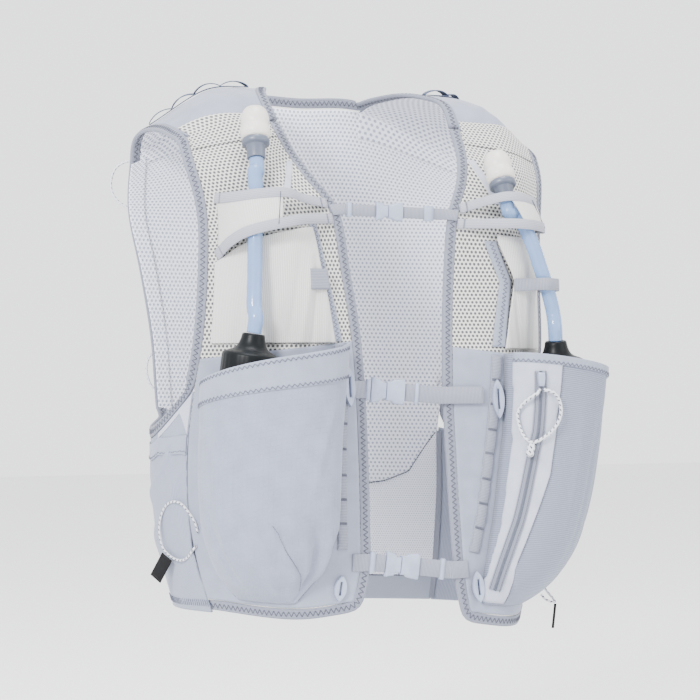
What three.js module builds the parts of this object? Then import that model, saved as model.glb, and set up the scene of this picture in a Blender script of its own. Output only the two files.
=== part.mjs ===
import * as THREE from 'three';

// A running hydration vest in its worn shape, with two soft flasks and three fastened chest straps.
// Millimetres. +Z is up, -Y is the wearer's front and +X the wearer's left.
// The origin is the level where the shoulders carry the vest, on its middle plane.

// The vest as a whole
const vestLength = 460;
const leftHemDrop = 10;
const halfWidth = 168;
const frontDepth = 112;
const backDepth = 118;
const shoulderSlope = 47;

// Cloth, edges and seams
const panelThickness = 2.2;
const pocketThickness = 1.4;
const bindingWidth = 8.5;
const bindingThickness = 3.2;
const seamGap = 0.5;
const bindingGap = 0.9;
const layerGap = 0.9;

// Rear pouch and the stretch pockets on the chest
const pouchDepth = 30;
const pouchHalfWidth = 112;
const chestPocketSlack = 6;

// Flasks, drinking tubes and valves
const flaskWidth = 64;
const flaskThickness = 38;
const flaskNeckRadius = 14;
const capRadius = 24.5;
const capHeight = 38;
const capNeckRadius = 10;
const tubeRadius = 6.5;
const connectorRadius = 8;
const connectorLength = 18;
const connectorRingRadius = 12;
const valveRadius = 13;
const valveLength = 29;
const flaskClearance = 5.5;

// Tapes, webbing and buckles
const tapeWidth = 9;
const tapeThickness = 1.2;
const webbingThickness = 1.4;
const topWebbingWidth = 10;
const lowerWebbingWidth = 15;
const buckleThickness = 6;
const daisyTapeWidth = 10;
const daisyBarPitch = 20;
const daisyBarRise = 1;
const hookLength = 34;
const hookWidth = 11;
const hookThickness = 3.5;
const zipTapeWidth = 11;

// Cords and their tabs
const loopCordRadius = 1;
const zipCordRadius = 1.5;
const knotRadius = 3.6;
const knotLength = 12;
const drawTabWidth = 12;
const hemTabWidth = 3;
const tabThickness = 1;

const table = (columns, rows) => rows.map((row) => (
  Object.fromEntries(columns.split(' ').map((column, i) => [column, row[i]]))
));
const vector = (x, y, z) => new THREE.Vector3(x, y, z);
const mix = THREE.MathUtils.lerp;
const smooth = (x, from, to) => THREE.MathUtils.smoothstep(x, from, to);
const lengthAt = (side) => vestLength + leftHemDrop * (side + 1) / 2;

// A place on the vest from shares: out of the half width, fore of the front or back depth,
// down of the length. A negative fore is behind the shoulders, a negative down above them.
function place(side, row) {
  const depth = row.fore > 0 ? frontDepth : backDepth;
  return vector(side * row.out * halfWidth, -row.fore * depth, -row.down * lengthAt(side));
}
const rail = (side, rows) => new THREE.CatmullRomCurve3(rows.map((row) => place(side, row)));

// Rails of a front panel, from the shoulder seam to the hem
const frontInner = table('out fore down', [
  [0.560, 0.179, 0.065], [0.530, 0.393, 0.126], [0.470, 0.545, 0.176], [0.375, 0.670, 0.233],
  [0.327, 0.732, 0.348], [0.292, 0.804, 0.467], [0.280, 0.848, 0.572], [0.280, 0.893, 0.674],
  [0.286, 0.946, 0.804], [0.298, 0.982, 0.902], [0.345, 0.970, 0.985],
]);
const frontMiddle = table('out fore down', [
  [0.786, 0.232, 0.072], [0.762, 0.482, 0.143], [0.726, 0.607, 0.187], [0.690, 0.705, 0.243],
  [0.655, 0.777, 0.348], [0.643, 0.821, 0.467], [0.643, 0.848, 0.572], [0.649, 0.866, 0.674],
  [0.643, 0.902, 0.804], [0.625, 0.911, 0.902], [0.600, 0.890, 1.000],
]);
const frontOuter = table('out fore down', [
  [1.000, 0.125, 0.096], [0.994, 0.268, 0.152], [0.970, 0.339, 0.200], [0.952, 0.375, 0.257],
  [0.952, 0.375, 0.348], [0.970, 0.357, 0.467], [0.994, 0.268, 0.572], [1.018, 0.232, 0.674],
  [1.012, 0.232, 0.804], [0.964, 0.250, 0.902], [0.893, 0.268, 0.985],
]);

// Rails of a shoulder yoke, from the front seam over the shoulder to the back seam
const yokeInner = table('out fore down', [
  [0.560, 0.179, 0.065], [0.568, 0.000, 0.016], [0.524, -0.170, 0.000], [0.460, -0.355, -0.009],
  [0.405, -0.635, -0.007], [0.372, -0.850, 0.000], [0.360, -0.945, 0.009],
]);
const yokeMiddle = table('out fore down', [
  [0.786, 0.232, 0.072], [0.790, 0.030, 0.028], [0.768, -0.190, 0.006], [0.745, -0.380, 0.000],
  [0.715, -0.635, 0.007], [0.700, -0.850, 0.022], [0.692, -0.955, 0.048],
]);
const yokeOuter = table('out fore down', [
  [1.000, 0.125, 0.096], [1.006, 0.000, 0.087], [1.000, -0.150, 0.076], [0.994, -0.355, 0.067],
  [0.994, -0.635, 0.067], [0.990, -0.820, 0.082], [0.988, -0.881, 0.109],
]);

// Rows of the back, from the neck to the hem. out, edge and centre give the armhole edge
// and the depth there and in the middle; slope is how much of the shoulder slope the row has.
const backRows = table('down out edge centre slope', [
  [0.007, 0.978, 0.881, 0.985, 1.0], [0.130, 0.985, 0.907, 1.000, 0.35],
  [0.228, 0.983, 0.910, 1.008, 0.0], [0.337, 0.925, 0.890, 1.008, 0.0],
  [0.470, 0.866, 0.873, 1.000, 0.0], [0.565, 0.846, 0.868, 0.990, 0.0],
  [0.640, 0.824, 0.893, 0.975, 0.0], [0.783, 0.818, 0.881, 0.950, 0.0],
  [0.924, 0.780, 0.839, 0.924, 0.0], [0.985, 0.750, 0.822, 0.907, 0.0],
]);
const backStops = [-1, -0.7, -0.36, 0, 0.36, 0.7, 1];
const armholeBottomRow = 6;

// Rails in the middle of a side, from the armhole to the hem
const sideForward = table('out fore down', [
  [1.080, -0.150, 0.655], [1.077, -0.150, 0.780], [1.024, -0.150, 0.890], [0.945, -0.130, 0.985],
]);
const sideRearward = table('out fore down', [
  [1.000, -0.540, 0.662], [0.994, -0.530, 0.780], [0.952, -0.520, 0.890], [0.885, -0.510, 0.985],
]);

// A piece of cloth spanned by rails. across is in millimetres from the first rail,
// down is the share of the rails' run, lift is in millimetres away from the wearer.
class Cloth {
  constructor(rails, core) {
    this.rails = rails;
    this.core = core;
    this.sections = new Map();
  }

  section(down) {
    if (!this.sections.has(down)) {
      this.sections.set(down, new THREE.CatmullRomCurve3(this.rails.map((curve) => curve.getPoint(down))));
    }
    return this.sections.get(down);
  }

  width(down) {
    return this.section(down).getLength();
  }

  point(across, down) {
    const section = this.section(down);
    const width = section.getLength();
    if (across < 0) return section.getPoint(0).addScaledVector(section.getTangent(0), across);
    if (across > width) return section.getPoint(1).addScaledVector(section.getTangent(1), across - width);
    return section.getPointAt(across / width);
  }

  tangent(across, down) {
    return this.point(across + 1, down).sub(this.point(across - 1, down)).normalize();
  }

  runDown(across, down) {
    const above = Math.max(0, down - 0.01);
    const below = Math.min(1, down + 0.01);
    const share = across / this.width(down);
    const lower = this.point(share * this.width(below), below);
    return lower.sub(this.point(share * this.width(above), above)).normalize();
  }

  normal(across, down) {
    const normal = this.tangent(across, down).cross(this.runDown(across, down)).normalize();
    const outwards = this.point(across, down).sub(this.core);
    return normal.dot(outwards) < 0 ? normal.negate() : normal;
  }

  at(across, down, lift = 0) {
    return this.point(across, down).addScaledVector(this.normal(across, down), lift);
  }
}

function frontCloth(side) {
  const rails = [frontInner, frontMiddle, frontOuter].map((rows) => rail(side, rows));
  return new Cloth(rails, vector(side * 0.3 * halfWidth, 0.2 * backDepth, -0.5 * vestLength));
}

function yokeCloth(side) {
  const rails = [yokeInner, yokeMiddle, yokeOuter].map((rows) => rail(side, rows));
  return new Cloth(rails, vector(side * 0.65 * halfWidth, 0.4 * backDepth, -0.4 * vestLength));
}

function backCloth() {
  const rails = backStops.map((stop) => {
    const reach = Math.abs(stop);
    const slope = shoulderSlope * Math.max(0, (reach + backStops[2]) / (1 + backStops[2])) ** 1.2;
    return new THREE.CatmullRomCurve3(backRows.map((row) => {
      const depth = mix(row.centre, row.edge, reach ** 2.2) * backDepth;
      return vector(stop * row.out * halfWidth, depth, -row.down * lengthAt(stop) - slope * row.slope);
    }));
  });
  return new Cloth(rails, vector(0, 0, -0.4 * vestLength));
}

// The rest of a rail below a share of its run
class RailBelow extends THREE.Curve {
  constructor(whole, from) {
    super();
    this.whole = whole;
    this.from = from;
  }

  getPoint(share) {
    return this.whole.getPoint(mix(this.from, 1, share));
  }
}

const armholeShare = 0.6;
const backArmholeShare = armholeBottomRow / (backRows.length - 1);

function sideCloth(side, front, back) {
  const backRail = back.rails[side < 0 ? 0 : back.rails.length - 1];
  const rails = [
    new RailBelow(front.rails[2], armholeShare), rail(side, sideForward), rail(side, sideRearward),
    new RailBelow(backRail, backArmholeShare),
  ];
  return new Cloth(rails, vector(side * 0.3 * halfWidth, 0.2 * backDepth, -0.8 * vestLength));
}

const sides = { right: -1, left: 1 };
const back = backCloth();
const fronts = Object.fromEntries(Object.entries(sides).map(([name, side]) => [name, frontCloth(side)]));
const yokes = Object.fromEntries(Object.entries(sides).map(([name, side]) => [name, yokeCloth(side)]));
const flanks = Object.fromEntries(
  Object.entries(sides).map(([name, side]) => [name, sideCloth(side, fronts[name], back)]),
);

const finish = (color, roughness) => new THREE.MeshStandardMaterial({ color, roughness, metalness: 0 });
const finishes = {
  mesh: finish(0xe4e6f0, 0.9),
  cloth: finish(0xcdd1de, 0.85),
  stretch: finish(0xecebe6, 0.85),
  binding: finish(0xbec2d0, 0.8),
  webbing: finish(0xb9bec8, 0.8),
  buckle: finish(0xcdd4e4, 0.4),
  flask: finish(0xdfe9f2, 0.3),
  cap: finish(0x17191c, 0.45),
  tube: finish(0xcfe0f0, 0.2),
  ring: finish(0x828a96, 0.4),
  valve: finish(0xefeee9, 0.3),
  cord: finish(0xe9ebf0, 0.8),
  tab: finish(0x121315, 0.6),
};

const vest = new THREE.Group();
function add(name, geometry, material) {
  const mesh = new THREE.Mesh(geometry, material);
  mesh.name = name;
  vest.add(mesh);
  return mesh;
}

// A wall over a grid. inner(u, v) is a point of the face next to the wearer, and
// outwards(u, v) the way the wall's thickness goes. A ring joins its last row to its first.
function wall(inner, outwards, columns, rows, thickness, ring = false) {
  const stops = ring ? rows : rows + 1;
  const positions = [];
  for (let j = 0; j < stops; j += 1) {
    for (let i = 0; i <= columns; i += 1) {
      const u = i / columns;
      const v = j / rows;
      const near = inner(u, v);
      const deep = typeof thickness === 'function' ? thickness(u, v) : thickness;
      const far = near.clone().addScaledVector(outwards(u, v), deep);
      positions.push(near.x, near.y, near.z, far.x, far.y, far.z);
    }
  }
  const near = (i, j) => 2 * ((j % stops) * (columns + 1) + i);
  const far = (i, j) => near(i, j) + 1;
  const faces = [];
  const quad = (a, b, c, d) => faces.push(a, b, c, a, c, d);
  for (let j = 0; j < rows; j += 1) {
    for (let i = 0; i < columns; i += 1) {
      quad(far(i, j), far(i + 1, j), far(i + 1, j + 1), far(i, j + 1));
      quad(near(i, j), near(i, j + 1), near(i + 1, j + 1), near(i + 1, j));
    }
    quad(near(0, j), far(0, j), far(0, j + 1), near(0, j + 1));
    quad(far(columns, j), near(columns, j), near(columns, j + 1), far(columns, j + 1));
  }
  for (let i = 0; i < columns && !ring; i += 1) {
    quad(near(i, 0), near(i + 1, 0), far(i + 1, 0), far(i, 0));
    quad(far(i, rows), far(i + 1, rows), near(i + 1, rows), near(i, rows));
  }
  return facingOut(positions, faces);
}

function facingOut(positions, faces) {
  let volume = 0;
  const corner = (k) => vector(...positions.slice(3 * k, 3 * k + 3));
  for (let k = 0; k < faces.length; k += 3) {
    volume += corner(faces[k]).dot(corner(faces[k + 1]).cross(corner(faces[k + 2])));
  }
  const geometry = new THREE.BufferGeometry();
  geometry.setAttribute('position', new THREE.Float32BufferAttribute(positions, 3));
  geometry.setIndex(volume < 0 ? faces.reverse() : faces);
  return geometry;
}

// The outward way of a surface given by a point function, from its own slope
function outwardOf(surface, core) {
  const step = 0.02;
  return (u, v) => {
    const acrossWay = surface(Math.min(1, u + step), v).sub(surface(Math.max(0, u - step), v));
    const downWay = surface(u, Math.min(1, v + step)).sub(surface(u, Math.max(0, v - step)));
    const normal = acrossWay.cross(downWay).normalize();
    return normal.dot(surface(u, v).sub(core)) < 0 ? normal.negate() : normal;
  };
}

// A panel over a share of a cloth, raised by lift(u, v)
function panel(cloth, range, columns, rows, thickness, lift = () => 0) {
  const surface = (u, v) => {
    const down = mix(range.top(u), range.bottom(u), v);
    const width = cloth.width(down);
    return cloth.at(mix(range.inner(down), width - range.outer(down), u), down, lift(u, v));
  };
  return wall(surface, outwardOf(surface, cloth.core), columns, rows, thickness);
}

const fixed = (value) => () => value;

// Back panel, and the low pouch on its outer face, open at the top
const seamShare = 0.003;
add('back_panel', panel(back, {
  top: fixed(seamShare), bottom: fixed(1), inner: fixed(0), outer: fixed(0),
}, 16, 13, panelThickness), finishes.mesh);

const pouchTop = 0.16;
const pouchBottom = 0.96;
const pouchTaper = 0.9;
const pouchTopFullness = 0.7;
const pouchMargin = (down) => (
  back.width(down) / 2 - pouchHalfWidth * mix(1, pouchTaper, smooth(down, 0.5, 1))
);
const pouchBulge = (u, v) => (
  Math.sin(Math.PI * u) ** 0.6 * (1 - mix(0.35, 1, v) ** 7) * mix(pouchTopFullness, 1, v)
);
add('rear_pouch', panel(back, {
  top: fixed(pouchTop), bottom: fixed(pouchBottom), inner: pouchMargin, outer: pouchMargin,
}, 10, 6, pocketThickness, (u, v) => (
  panelThickness + seamGap + pouchDepth * pouchBulge(u, v)
)), finishes.cloth);

// One edge station of a binding: where the cloth ends, the way out of it and its outward normal
function edgeStation(cloth, across, down, away, gap = bindingGap) {
  const normal = cloth.normal(across, down);
  return { edge: cloth.point(across, down), away, normal, gap };
}

function bindingAlong(stations, ring = false) {
  const rows = ring ? stations.length : stations.length - 1;
  const station = (v) => stations[Math.round(v * rows) % stations.length];
  const sink = (panelThickness - bindingThickness) / 2;
  const inner = (u, v) => {
    const { edge, away, normal, gap } = station(v);
    return edge.clone().addScaledVector(away, mix(gap, gap + bindingWidth, u)).addScaledVector(normal, sink);
  };
  return wall(inner, (u, v) => station(v).normal, 1, rows, bindingThickness, ring);
}

const shares = (count, from, to) => Array.from({ length: count }, (_, i) => mix(from, to, i / (count - 1)));
const towardsStart = (cloth, down) => cloth.tangent(0, down).negate();
const pastEnd = (cloth, down) => cloth.tangent(cloth.width(down), down);

const neckHalf = 0.36;
const backNeck = shares(9, -neckHalf * 0.94, neckHalf * 0.94).map((reach) => {
  const across = back.width(0) * (1 + reach) / 2;
  return edgeStation(back, across, 0, back.runDown(across, 0).negate());
});
const yokeNeck = (yoke, from, to) => shares(8, from, to).map((down) => (
  edgeStation(yoke, 0, down, towardsStart(yoke, down))
));
add('neck_binding', bindingAlong([
  ...yokeNeck(yokes.right, 0.01, 0.94), ...backNeck, ...yokeNeck(yokes.left, 0.94, 0.01),
]), finishes.binding);

for (const [name, side] of Object.entries(sides)) {
  const front = fronts[name];
  const yoke = yokes[name];
  const flank = flanks[name];

  // Shoulder yoke, front panel and side pocket
  add(`shoulder_yoke_${name}`, panel(yoke, {
    top: fixed(0), bottom: fixed(1 - 4 * seamShare), inner: fixed(0), outer: fixed(0),
  }, 6, 9, panelThickness), finishes.cloth);
  add(`front_panel_${name}`, panel(front, {
    top: fixed(2 * seamShare), bottom: fixed(1), inner: fixed(0), outer: fixed(0),
  }, 7, 16, panelThickness), finishes.mesh);
  add(`side_pocket_${name}`, panel(flank, {
    top: fixed(0), bottom: fixed(1), inner: fixed(2 * seamGap), outer: fixed(2 * seamGap),
  }, 7, 6, panelThickness), finishes.cloth);

  // Binding of the front edge, which turns the corner into the hem
  const cornerAway = front.tangent(0, 1).negate().add(front.runDown(0, 1)).multiplyScalar(0.75);
  const hem = shares(6, 0.12, 0.98).map((share) => {
    const across = share * front.width(1);
    return edgeStation(front, across, 1, front.runDown(across, 1));
  });
  add(`front_binding_${name}`, bindingAlong([
    ...shares(19, 0.004, 0.97).map((down) => edgeStation(front, 0, down, towardsStart(front, down))),
    edgeStation(front, 0, 1, cornerAway), ...hem,
  ]), finishes.binding);

  // Binding round the armhole: down the front, under the arm, up the back and over the shoulder
  const backSide = (down) => (side < 0 ? 0 : back.width(down));
  const backAway = (down) => (side < 0 ? towardsStart(back, down) : pastEnd(back, down));
  add(`armhole_binding_${name}`, bindingAlong([
    ...shares(10, 0.02, 0.57).map((down) => (
      edgeStation(front, front.width(down), down, pastEnd(front, down))
    )),
    ...shares(7, 0.08, 0.93).map((share) => {
      const across = share * flank.width(0);
      return edgeStation(flank, across, 0, flank.runDown(across, 0).negate(), 2 * bindingGap);
    }),
    ...shares(9, backArmholeShare - 0.04, 0.04).map((down) => (
      edgeStation(back, backSide(down), down, backAway(down))
    )),
    ...shares(7, 0.94, 0.06).map((down) => edgeStation(yoke, yoke.width(down), down, pastEnd(yoke, down))),
  ], true), finishes.binding);
}

// A flat strip along stations, each with its middle, its width's way and its outward normal
function strip(stations, width, thickness) {
  const rows = stations.length - 1;
  const station = (v) => stations[Math.round(v * rows)];
  const inner = (u, v) => station(v).middle.clone().addScaledVector(station(v).wide, (u - 0.5) * width);
  const depth = typeof thickness === 'function' ? (u, v) => thickness(station(v)) : thickness;
  return wall(inner, (u, v) => station(v).normal, 1, rows, depth);
}

// Stations of a strip on a cloth, through rows of across (share of the width), down and lift
function stationsOn(cloth, rows, count) {
  const route = new THREE.CatmullRomCurve3(rows.map((row) => vector(row.across, row.down, row.lift)));
  return shares(count, 0, 1).map((share) => {
    const stop = route.getPoint(share);
    const across = stop.x * cloth.width(stop.y);
    const ahead = route.getPoint(Math.min(1, share + 0.02));
    const behind = route.getPoint(Math.max(0, share - 0.02));
    const run = cloth.at(ahead.x * cloth.width(ahead.y), ahead.y, ahead.z)
      .sub(cloth.at(behind.x * cloth.width(behind.y), behind.y, behind.z)).normalize();
    const facing = cloth.normal(across, stop.y);
    const wide = facing.clone().cross(run).normalize();
    const normal = run.clone().cross(wide).normalize();
    if (normal.dot(facing) < 0) normal.negate();
    return { middle: cloth.at(across, stop.y, stop.z), wide, normal };
  });
}

// A closed round solid from a profile of radius and height, standing on base along axis
function turned(profile, sideCount, base, axis, radius, height) {
  const points = profile.map((row) => new THREE.Vector2(row.r * radius, row.h * height));
  const geometry = new THREE.LatheGeometry(points, sideCount);
  geometry.applyQuaternion(new THREE.Quaternion().setFromUnitVectors(vector(0, 1, 0), axis));
  geometry.translate(base.x, base.y, base.z);
  return geometry;
}

function tubeAlong(points, radius, sideCount, steps) {
  const ring = new THREE.Shape(shares(sideCount + 1, 0, 2 * Math.PI).slice(0, sideCount).map((turn) => (
    new THREE.Vector2(radius * Math.cos(turn), radius * Math.sin(turn))
  )));
  return new THREE.ExtrudeGeometry(ring, {
    steps, bevelEnabled: false, extrudePath: new THREE.CatmullRomCurve3(points),
  });
}

// Flask pockets. inner and outer are the margins left on the panel, as shares of its width.
const pocketOutline = {
  right: table('down inner outer', [
    [0.50, 0.120, 0.03], [0.67, 0.155, 0.06], [0.82, 0.170, 0.09], [0.90, 0.250, 0.12], [0.97, 0.400, 0.22],
  ]),
  left: table('down inner outer', [
    [0.50, 0.360, 0.02], [0.67, 0.290, 0.02], [0.82, 0.180, 0.03], [0.90, 0.130, 0.06], [0.97, 0.100, 0.16],
  ]),
};
const pocketHem = { right: [0.519, 0.585], left: [0.525, 0.565] };
const pocketBottom = 0.97;
const capLift = flaskClearance + capRadius;
const pocketLift = panelThickness + layerGap;
const pocketDepth = capLift + capRadius + 1.5 - pocketLift;

function between(rows, column, down) {
  const next = Math.max(1, rows.findIndex((row) => row.down >= down));
  const after = rows[down > rows.at(-1).down ? rows.length - 1 : next];
  const before = rows[rows.indexOf(after) - 1];
  const share = THREE.MathUtils.clamp((down - before.down) / (after.down - before.down), 0, 1);
  return mix(before[column], after[column], share);
}

function pocketSurface(name) {
  const front = fronts[name];
  const [hemInner, hemOuter] = pocketHem[name];
  return (u, v) => {
    const spread = mix(u, (1 - Math.cos(Math.PI * u)) / 2, 0.6);
    const down = mix(mix(hemInner, hemOuter, spread), pocketBottom, v);
    const width = front.width(down);
    const inner = width * between(pocketOutline[name], 'inner', down);
    const outer = width * (1 - between(pocketOutline[name], 'outer', down));
    const bulge = Math.max(0, Math.sin(Math.PI * spread)) ** 0.42 * (1 - v ** 5);
    return front.at(mix(inner, outer, spread), down, pocketLift + pocketDepth * bulge);
  };
}

// Flasks: sections from the bottom up, as shares of the flask's width, thickness and the cap's lift
const flaskAcross = { right: 0.583, left: 0.611 };
const flaskTop = 0.578;
const flaskSections = table('down wide thick lift', [
  [0.895, 0.35, 0.30, 0.62], [0.885, 0.62, 0.55, 0.68], [0.850, 0.88, 0.85, 0.85], [0.780, 1.00, 1.00, 0.96],
  [0.700, 1.00, 1.00, 1.00], [0.640, 0.90, 0.95, 1.00], [0.605, 0.60, 0.80, 1.00],
]);
const capProfile = table('r h', [
  [0, 0], [0.92, 0], [1, 0.07], [1, 0.46], [0.9, 0.53], [0.56, 0.6], [capNeckRadius / capRadius, 0.72],
  [capNeckRadius / capRadius, 1], [0, 1],
]);
const connectorProfile = table('r h', [
  [0, 0], [connectorRadius / connectorRingRadius, 0], [connectorRadius / connectorRingRadius, 0.66],
  [1, 0.72], [1, 1], [0, 1],
]);
const valveProfile = table('r h', [
  [0, 0], [0.82, 0], [0.95, 0.18], [1, 0.42], [1, 0.62], [0.88, 0.8], [0.7, 1], [0, 1],
]);

function flaskBody(front, across, ringPoints) {
  const positions = [];
  const faces = [];
  const ringAt = (down, lift, wide, thick) => {
    const middle = across * front.width(down);
    const centre = front.at(middle, down, lift);
    const acrossWay = front.tangent(middle, down);
    const outWay = front.normal(middle, down);
    for (let k = 0; k < ringPoints; k += 1) {
      const turn = 2 * Math.PI * k / ringPoints;
      const corner = centre.clone()
        .addScaledVector(acrossWay, wide * Math.cos(turn)).addScaledVector(outWay, thick * Math.sin(turn));
      positions.push(...corner.toArray());
    }
    return centre;
  };
  const centres = flaskSections.map((row) => (
    ringAt(row.down, row.lift * capLift, row.wide * flaskWidth / 2, row.thick * flaskThickness / 2)
  ));
  centres.push(ringAt(flaskTop + 0.009, capLift, flaskNeckRadius, flaskNeckRadius));
  const last = (centres.length - 1) * ringPoints;
  for (let j = 0; j < centres.length - 1; j += 1) {
    for (let k = 0; k < ringPoints; k += 1) {
      const here = j * ringPoints + k;
      const beside = j * ringPoints + (k + 1) % ringPoints;
      faces.push(here, beside, beside + ringPoints, here, beside + ringPoints, here + ringPoints);
    }
  }
  positions.push(...centres[0].toArray(), ...centres.at(-1).toArray());
  const bottom = centres.length * ringPoints;
  for (let k = 0; k < ringPoints; k += 1) {
    const next = (k + 1) % ringPoints;
    faces.push(bottom, next, k, bottom + 1, last + k, last + next);
  }
  return facingOut(positions, faces);
}

// Where a drinking tube runs, where its connector stands and what the valve points at
const tubeRoute = {
  right: table('across down lift', [
    [0.598, 0.460, 27.0], [0.598, 0.410, 24.0], [0.596, 0.334, 20.5], [0.550, 0.250, 17.5],
    [0.500, 0.180, 16.5],
  ]),
  left: table('across down lift', [
    [0.627, 0.458, 28.0], [0.580, 0.422, 26.0], [0.536, 0.391, 24.0], [0.480, 0.341, 21.0],
    [0.400, 0.300, 19.0],
  ]),
};
const connectorFoot = {
  right: { across: 0.465, down: 0.141, lift: 16.5 }, left: { across: 0.332, down: 0.269, lift: 18.5 },
};
const valveAim = {
  right: { across: 0.380, down: 0.010, lift: 34 }, left: { across: 0.200, down: 0.080, lift: 27 },
};
const onFront = (front, row) => front.at(row.across * front.width(row.down), row.down, row.lift);

// Tapes that hold the tube: from the front edge over the tube to the armhole edge
const tapeLift = panelThickness + 0.7;
const upperTape = {
  right: table('across down lift', [
    [0.005, 0.288, tapeLift], [0.250, 0.281, 11], [0.430, 0.270, 23], [0.560, 0.262, 26.5],
    [0.700, 0.250, 20], [0.900, 0.232, tapeLift],
  ]),
  left: table('across down lift', [
    [0.005, 0.286, tapeLift], [0.200, 0.280, 20], [0.340, 0.272, 28.5], [0.480, 0.262, 23],
    [0.700, 0.245, 9], [0.900, 0.232, tapeLift],
  ]),
};
const lowerTape = {
  right: table('across down lift', [
    [0.005, 0.319, tapeLift], [0.250, 0.322, 12], [0.450, 0.329, 25], [0.600, 0.336, 29.5],
    [0.740, 0.348, 22], [0.930, 0.372, tapeLift],
  ]),
  left: table('across down lift', [
    [0.005, 0.318, tapeLift], [0.200, 0.322, 18], [0.420, 0.322, 29.5], [0.560, 0.317, 25],
    [0.750, 0.306, 11], [0.930, 0.295, tapeLift],
  ]),
};

// Daisy chains beside the pockets, and the hooks that the lower straps hang from
const trimLift = panelThickness + seamGap;
const overDaisyLift = trimLift + tapeThickness + daisyBarRise + seamGap;
const overWebbingLift = tapeLift + webbingThickness + seamGap;
const daisyRoute = {
  right: table('across down lift', [
    [0.065, 0.527, trimLift], [0.095, 0.640, trimLift], [0.110, 0.750, trimLift], [0.115, 0.860, trimLift],
  ]),
  left: table('across down lift', [
    [0.300, 0.527, trimLift], [0.215, 0.683, trimLift], [0.140, 0.780, trimLift], [0.075, 0.855, trimLift],
  ]),
};
const hooks = {
  right: table('name across down length lift', [
    ['upper', 0.060, 0.594, 1, overDaisyLift], ['lower', 0.115, 0.936, 0.65, trimLift],
  ]),
  left: table('name across down length lift', [
    ['upper', 0.270, 0.605, 1, overDaisyLift], ['lower', 0.074, 0.922, 0.8, overWebbingLift],
  ]),
};

function lensHook(front, row) {
  const half = hookLength * row.length / 2;
  const rise = hookWidth / 2;
  const radius = (half ** 2 + rise ** 2) / (2 * rise);
  const reach = Math.asin(half / radius);
  const edge = (turn, flip) => (
    new THREE.Vector2(flip * radius * Math.sin(turn), flip * (radius * (Math.cos(turn) - 1) + rise))
  );
  const turns = shares(7, -reach, reach).slice(0, 6);
  const lens = new THREE.Shape([1, -1].flatMap((flip) => turns.map((turn) => edge(turn, flip))));
  const slot = new THREE.Path();
  const end = half / 2;
  slot.moveTo(-end, -1).lineTo(end, -1).lineTo(end, 1).lineTo(-end, 1).closePath();
  lens.holes.push(slot);
  const geometry = new THREE.ExtrudeGeometry(lens, { depth: hookThickness, bevelEnabled: false });
  const across = row.across * front.width(row.down);
  const outWay = front.normal(across, row.down);
  const downWay = front.runDown(across, row.down);
  const basis = new THREE.Matrix4().makeBasis(downWay, outWay.clone().cross(downWay), outWay);
  geometry.applyMatrix4(basis.setPosition(front.at(across, row.down, row.lift)));
  return geometry;
}

for (const name of Object.keys(sides)) {
  const front = fronts[name];

  // White stretch pocket under the drinking tube
  const chestRange = {
    top: (u) => mix(0.35, 0.405, u), bottom: fixed(0.515), inner: (down) => 0.13 * front.width(down),
    outer: (down) => 0.06 * front.width(down),
  };
  const chestLift = (u, v) => (
    pocketLift + chestPocketSlack * Math.sin(Math.PI * u) * Math.sin(Math.PI * mix(0.35, 1, v)) ** 2
  );
  add(`chest_pocket_${name}`, panel(front, chestRange, 6, 8, pocketThickness, chestLift), finishes.stretch);

  // Flask pocket, its flask, cap, tube, connector and bite valve
  const pocket = pocketSurface(name);
  add(`flask_pocket_${name}`, wall(
    pocket, outwardOf(pocket, front.core), 14, 10, pocketThickness,
  ), finishes.cloth);
  add(`soft_flask_${name}`, flaskBody(front, flaskAcross[name], 12), finishes.flask);
  const capFoot = onFront(front, { across: flaskAcross[name], down: flaskTop, lift: capLift });
  const capAim = onFront(front, { across: flaskAcross[name], down: flaskTop - 0.1, lift: capLift });
  const capAxis = capAim.sub(capFoot).normalize();
  add(`flask_cap_${name}`, turned(capProfile, 16, capFoot, capAxis, capRadius, capHeight), finishes.cap);
  const capTop = capFoot.clone().addScaledVector(capAxis, capHeight);
  const foot = onFront(front, connectorFoot[name]);
  const valveAxis = onFront(front, valveAim[name]).sub(foot).normalize();
  const tubePoints = [
    capTop.clone().addScaledVector(capAxis, seamGap),
    capTop.clone().addScaledVector(capAxis, 2 * tubeRadius),
    ...tubeRoute[name].map((row) => onFront(front, row)),
    foot.clone().addScaledVector(valveAxis, -2 * tubeRadius),
    foot.clone().addScaledVector(valveAxis, -seamGap),
  ];
  add(`drinking_tube_${name}`, tubeAlong(tubePoints, tubeRadius, 8, 18), finishes.tube);
  add(`tube_connector_${name}`, turned(
    connectorProfile, 14, foot, valveAxis, connectorRingRadius, connectorLength,
  ), finishes.ring);
  const valveFoot = foot.clone().addScaledVector(valveAxis, connectorLength + seamGap);
  add(`bite_valve_${name}`, turned(
    valveProfile, 14, valveFoot, valveAxis, valveRadius, valveLength,
  ), finishes.valve);

  // Tapes over the tube, the daisy chain and the strap hooks
  for (const [level, routes] of [['upper', upperTape], ['lower', lowerTape]]) {
    const stations = stationsOn(front, routes[name], 13);
    add(`${level}_tape_${name}`, strip(stations, tapeWidth, tapeThickness), finishes.webbing);
  }
  const plain = stationsOn(front, daisyRoute[name], 2);
  const run = plain[0].middle.distanceTo(plain[1].middle);
  const bars = Math.floor(run / daisyBarPitch);
  const daisyStations = stationsOn(front, daisyRoute[name], 4 * bars + 1);
  daisyStations.forEach((station, i) => { station.bar = i % 4 === 1 || i % 4 === 2; });
  add(`daisy_chain_${name}`, strip(daisyStations, daisyTapeWidth, (station) => (
    tapeThickness + (station.bar ? daisyBarRise : 0)
  )), finishes.webbing);
  for (const row of hooks[name]) {
    add(`strap_hook_${row.name}_${name}`, lensHook(front, row), finishes.buckle);
  }
}

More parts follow.
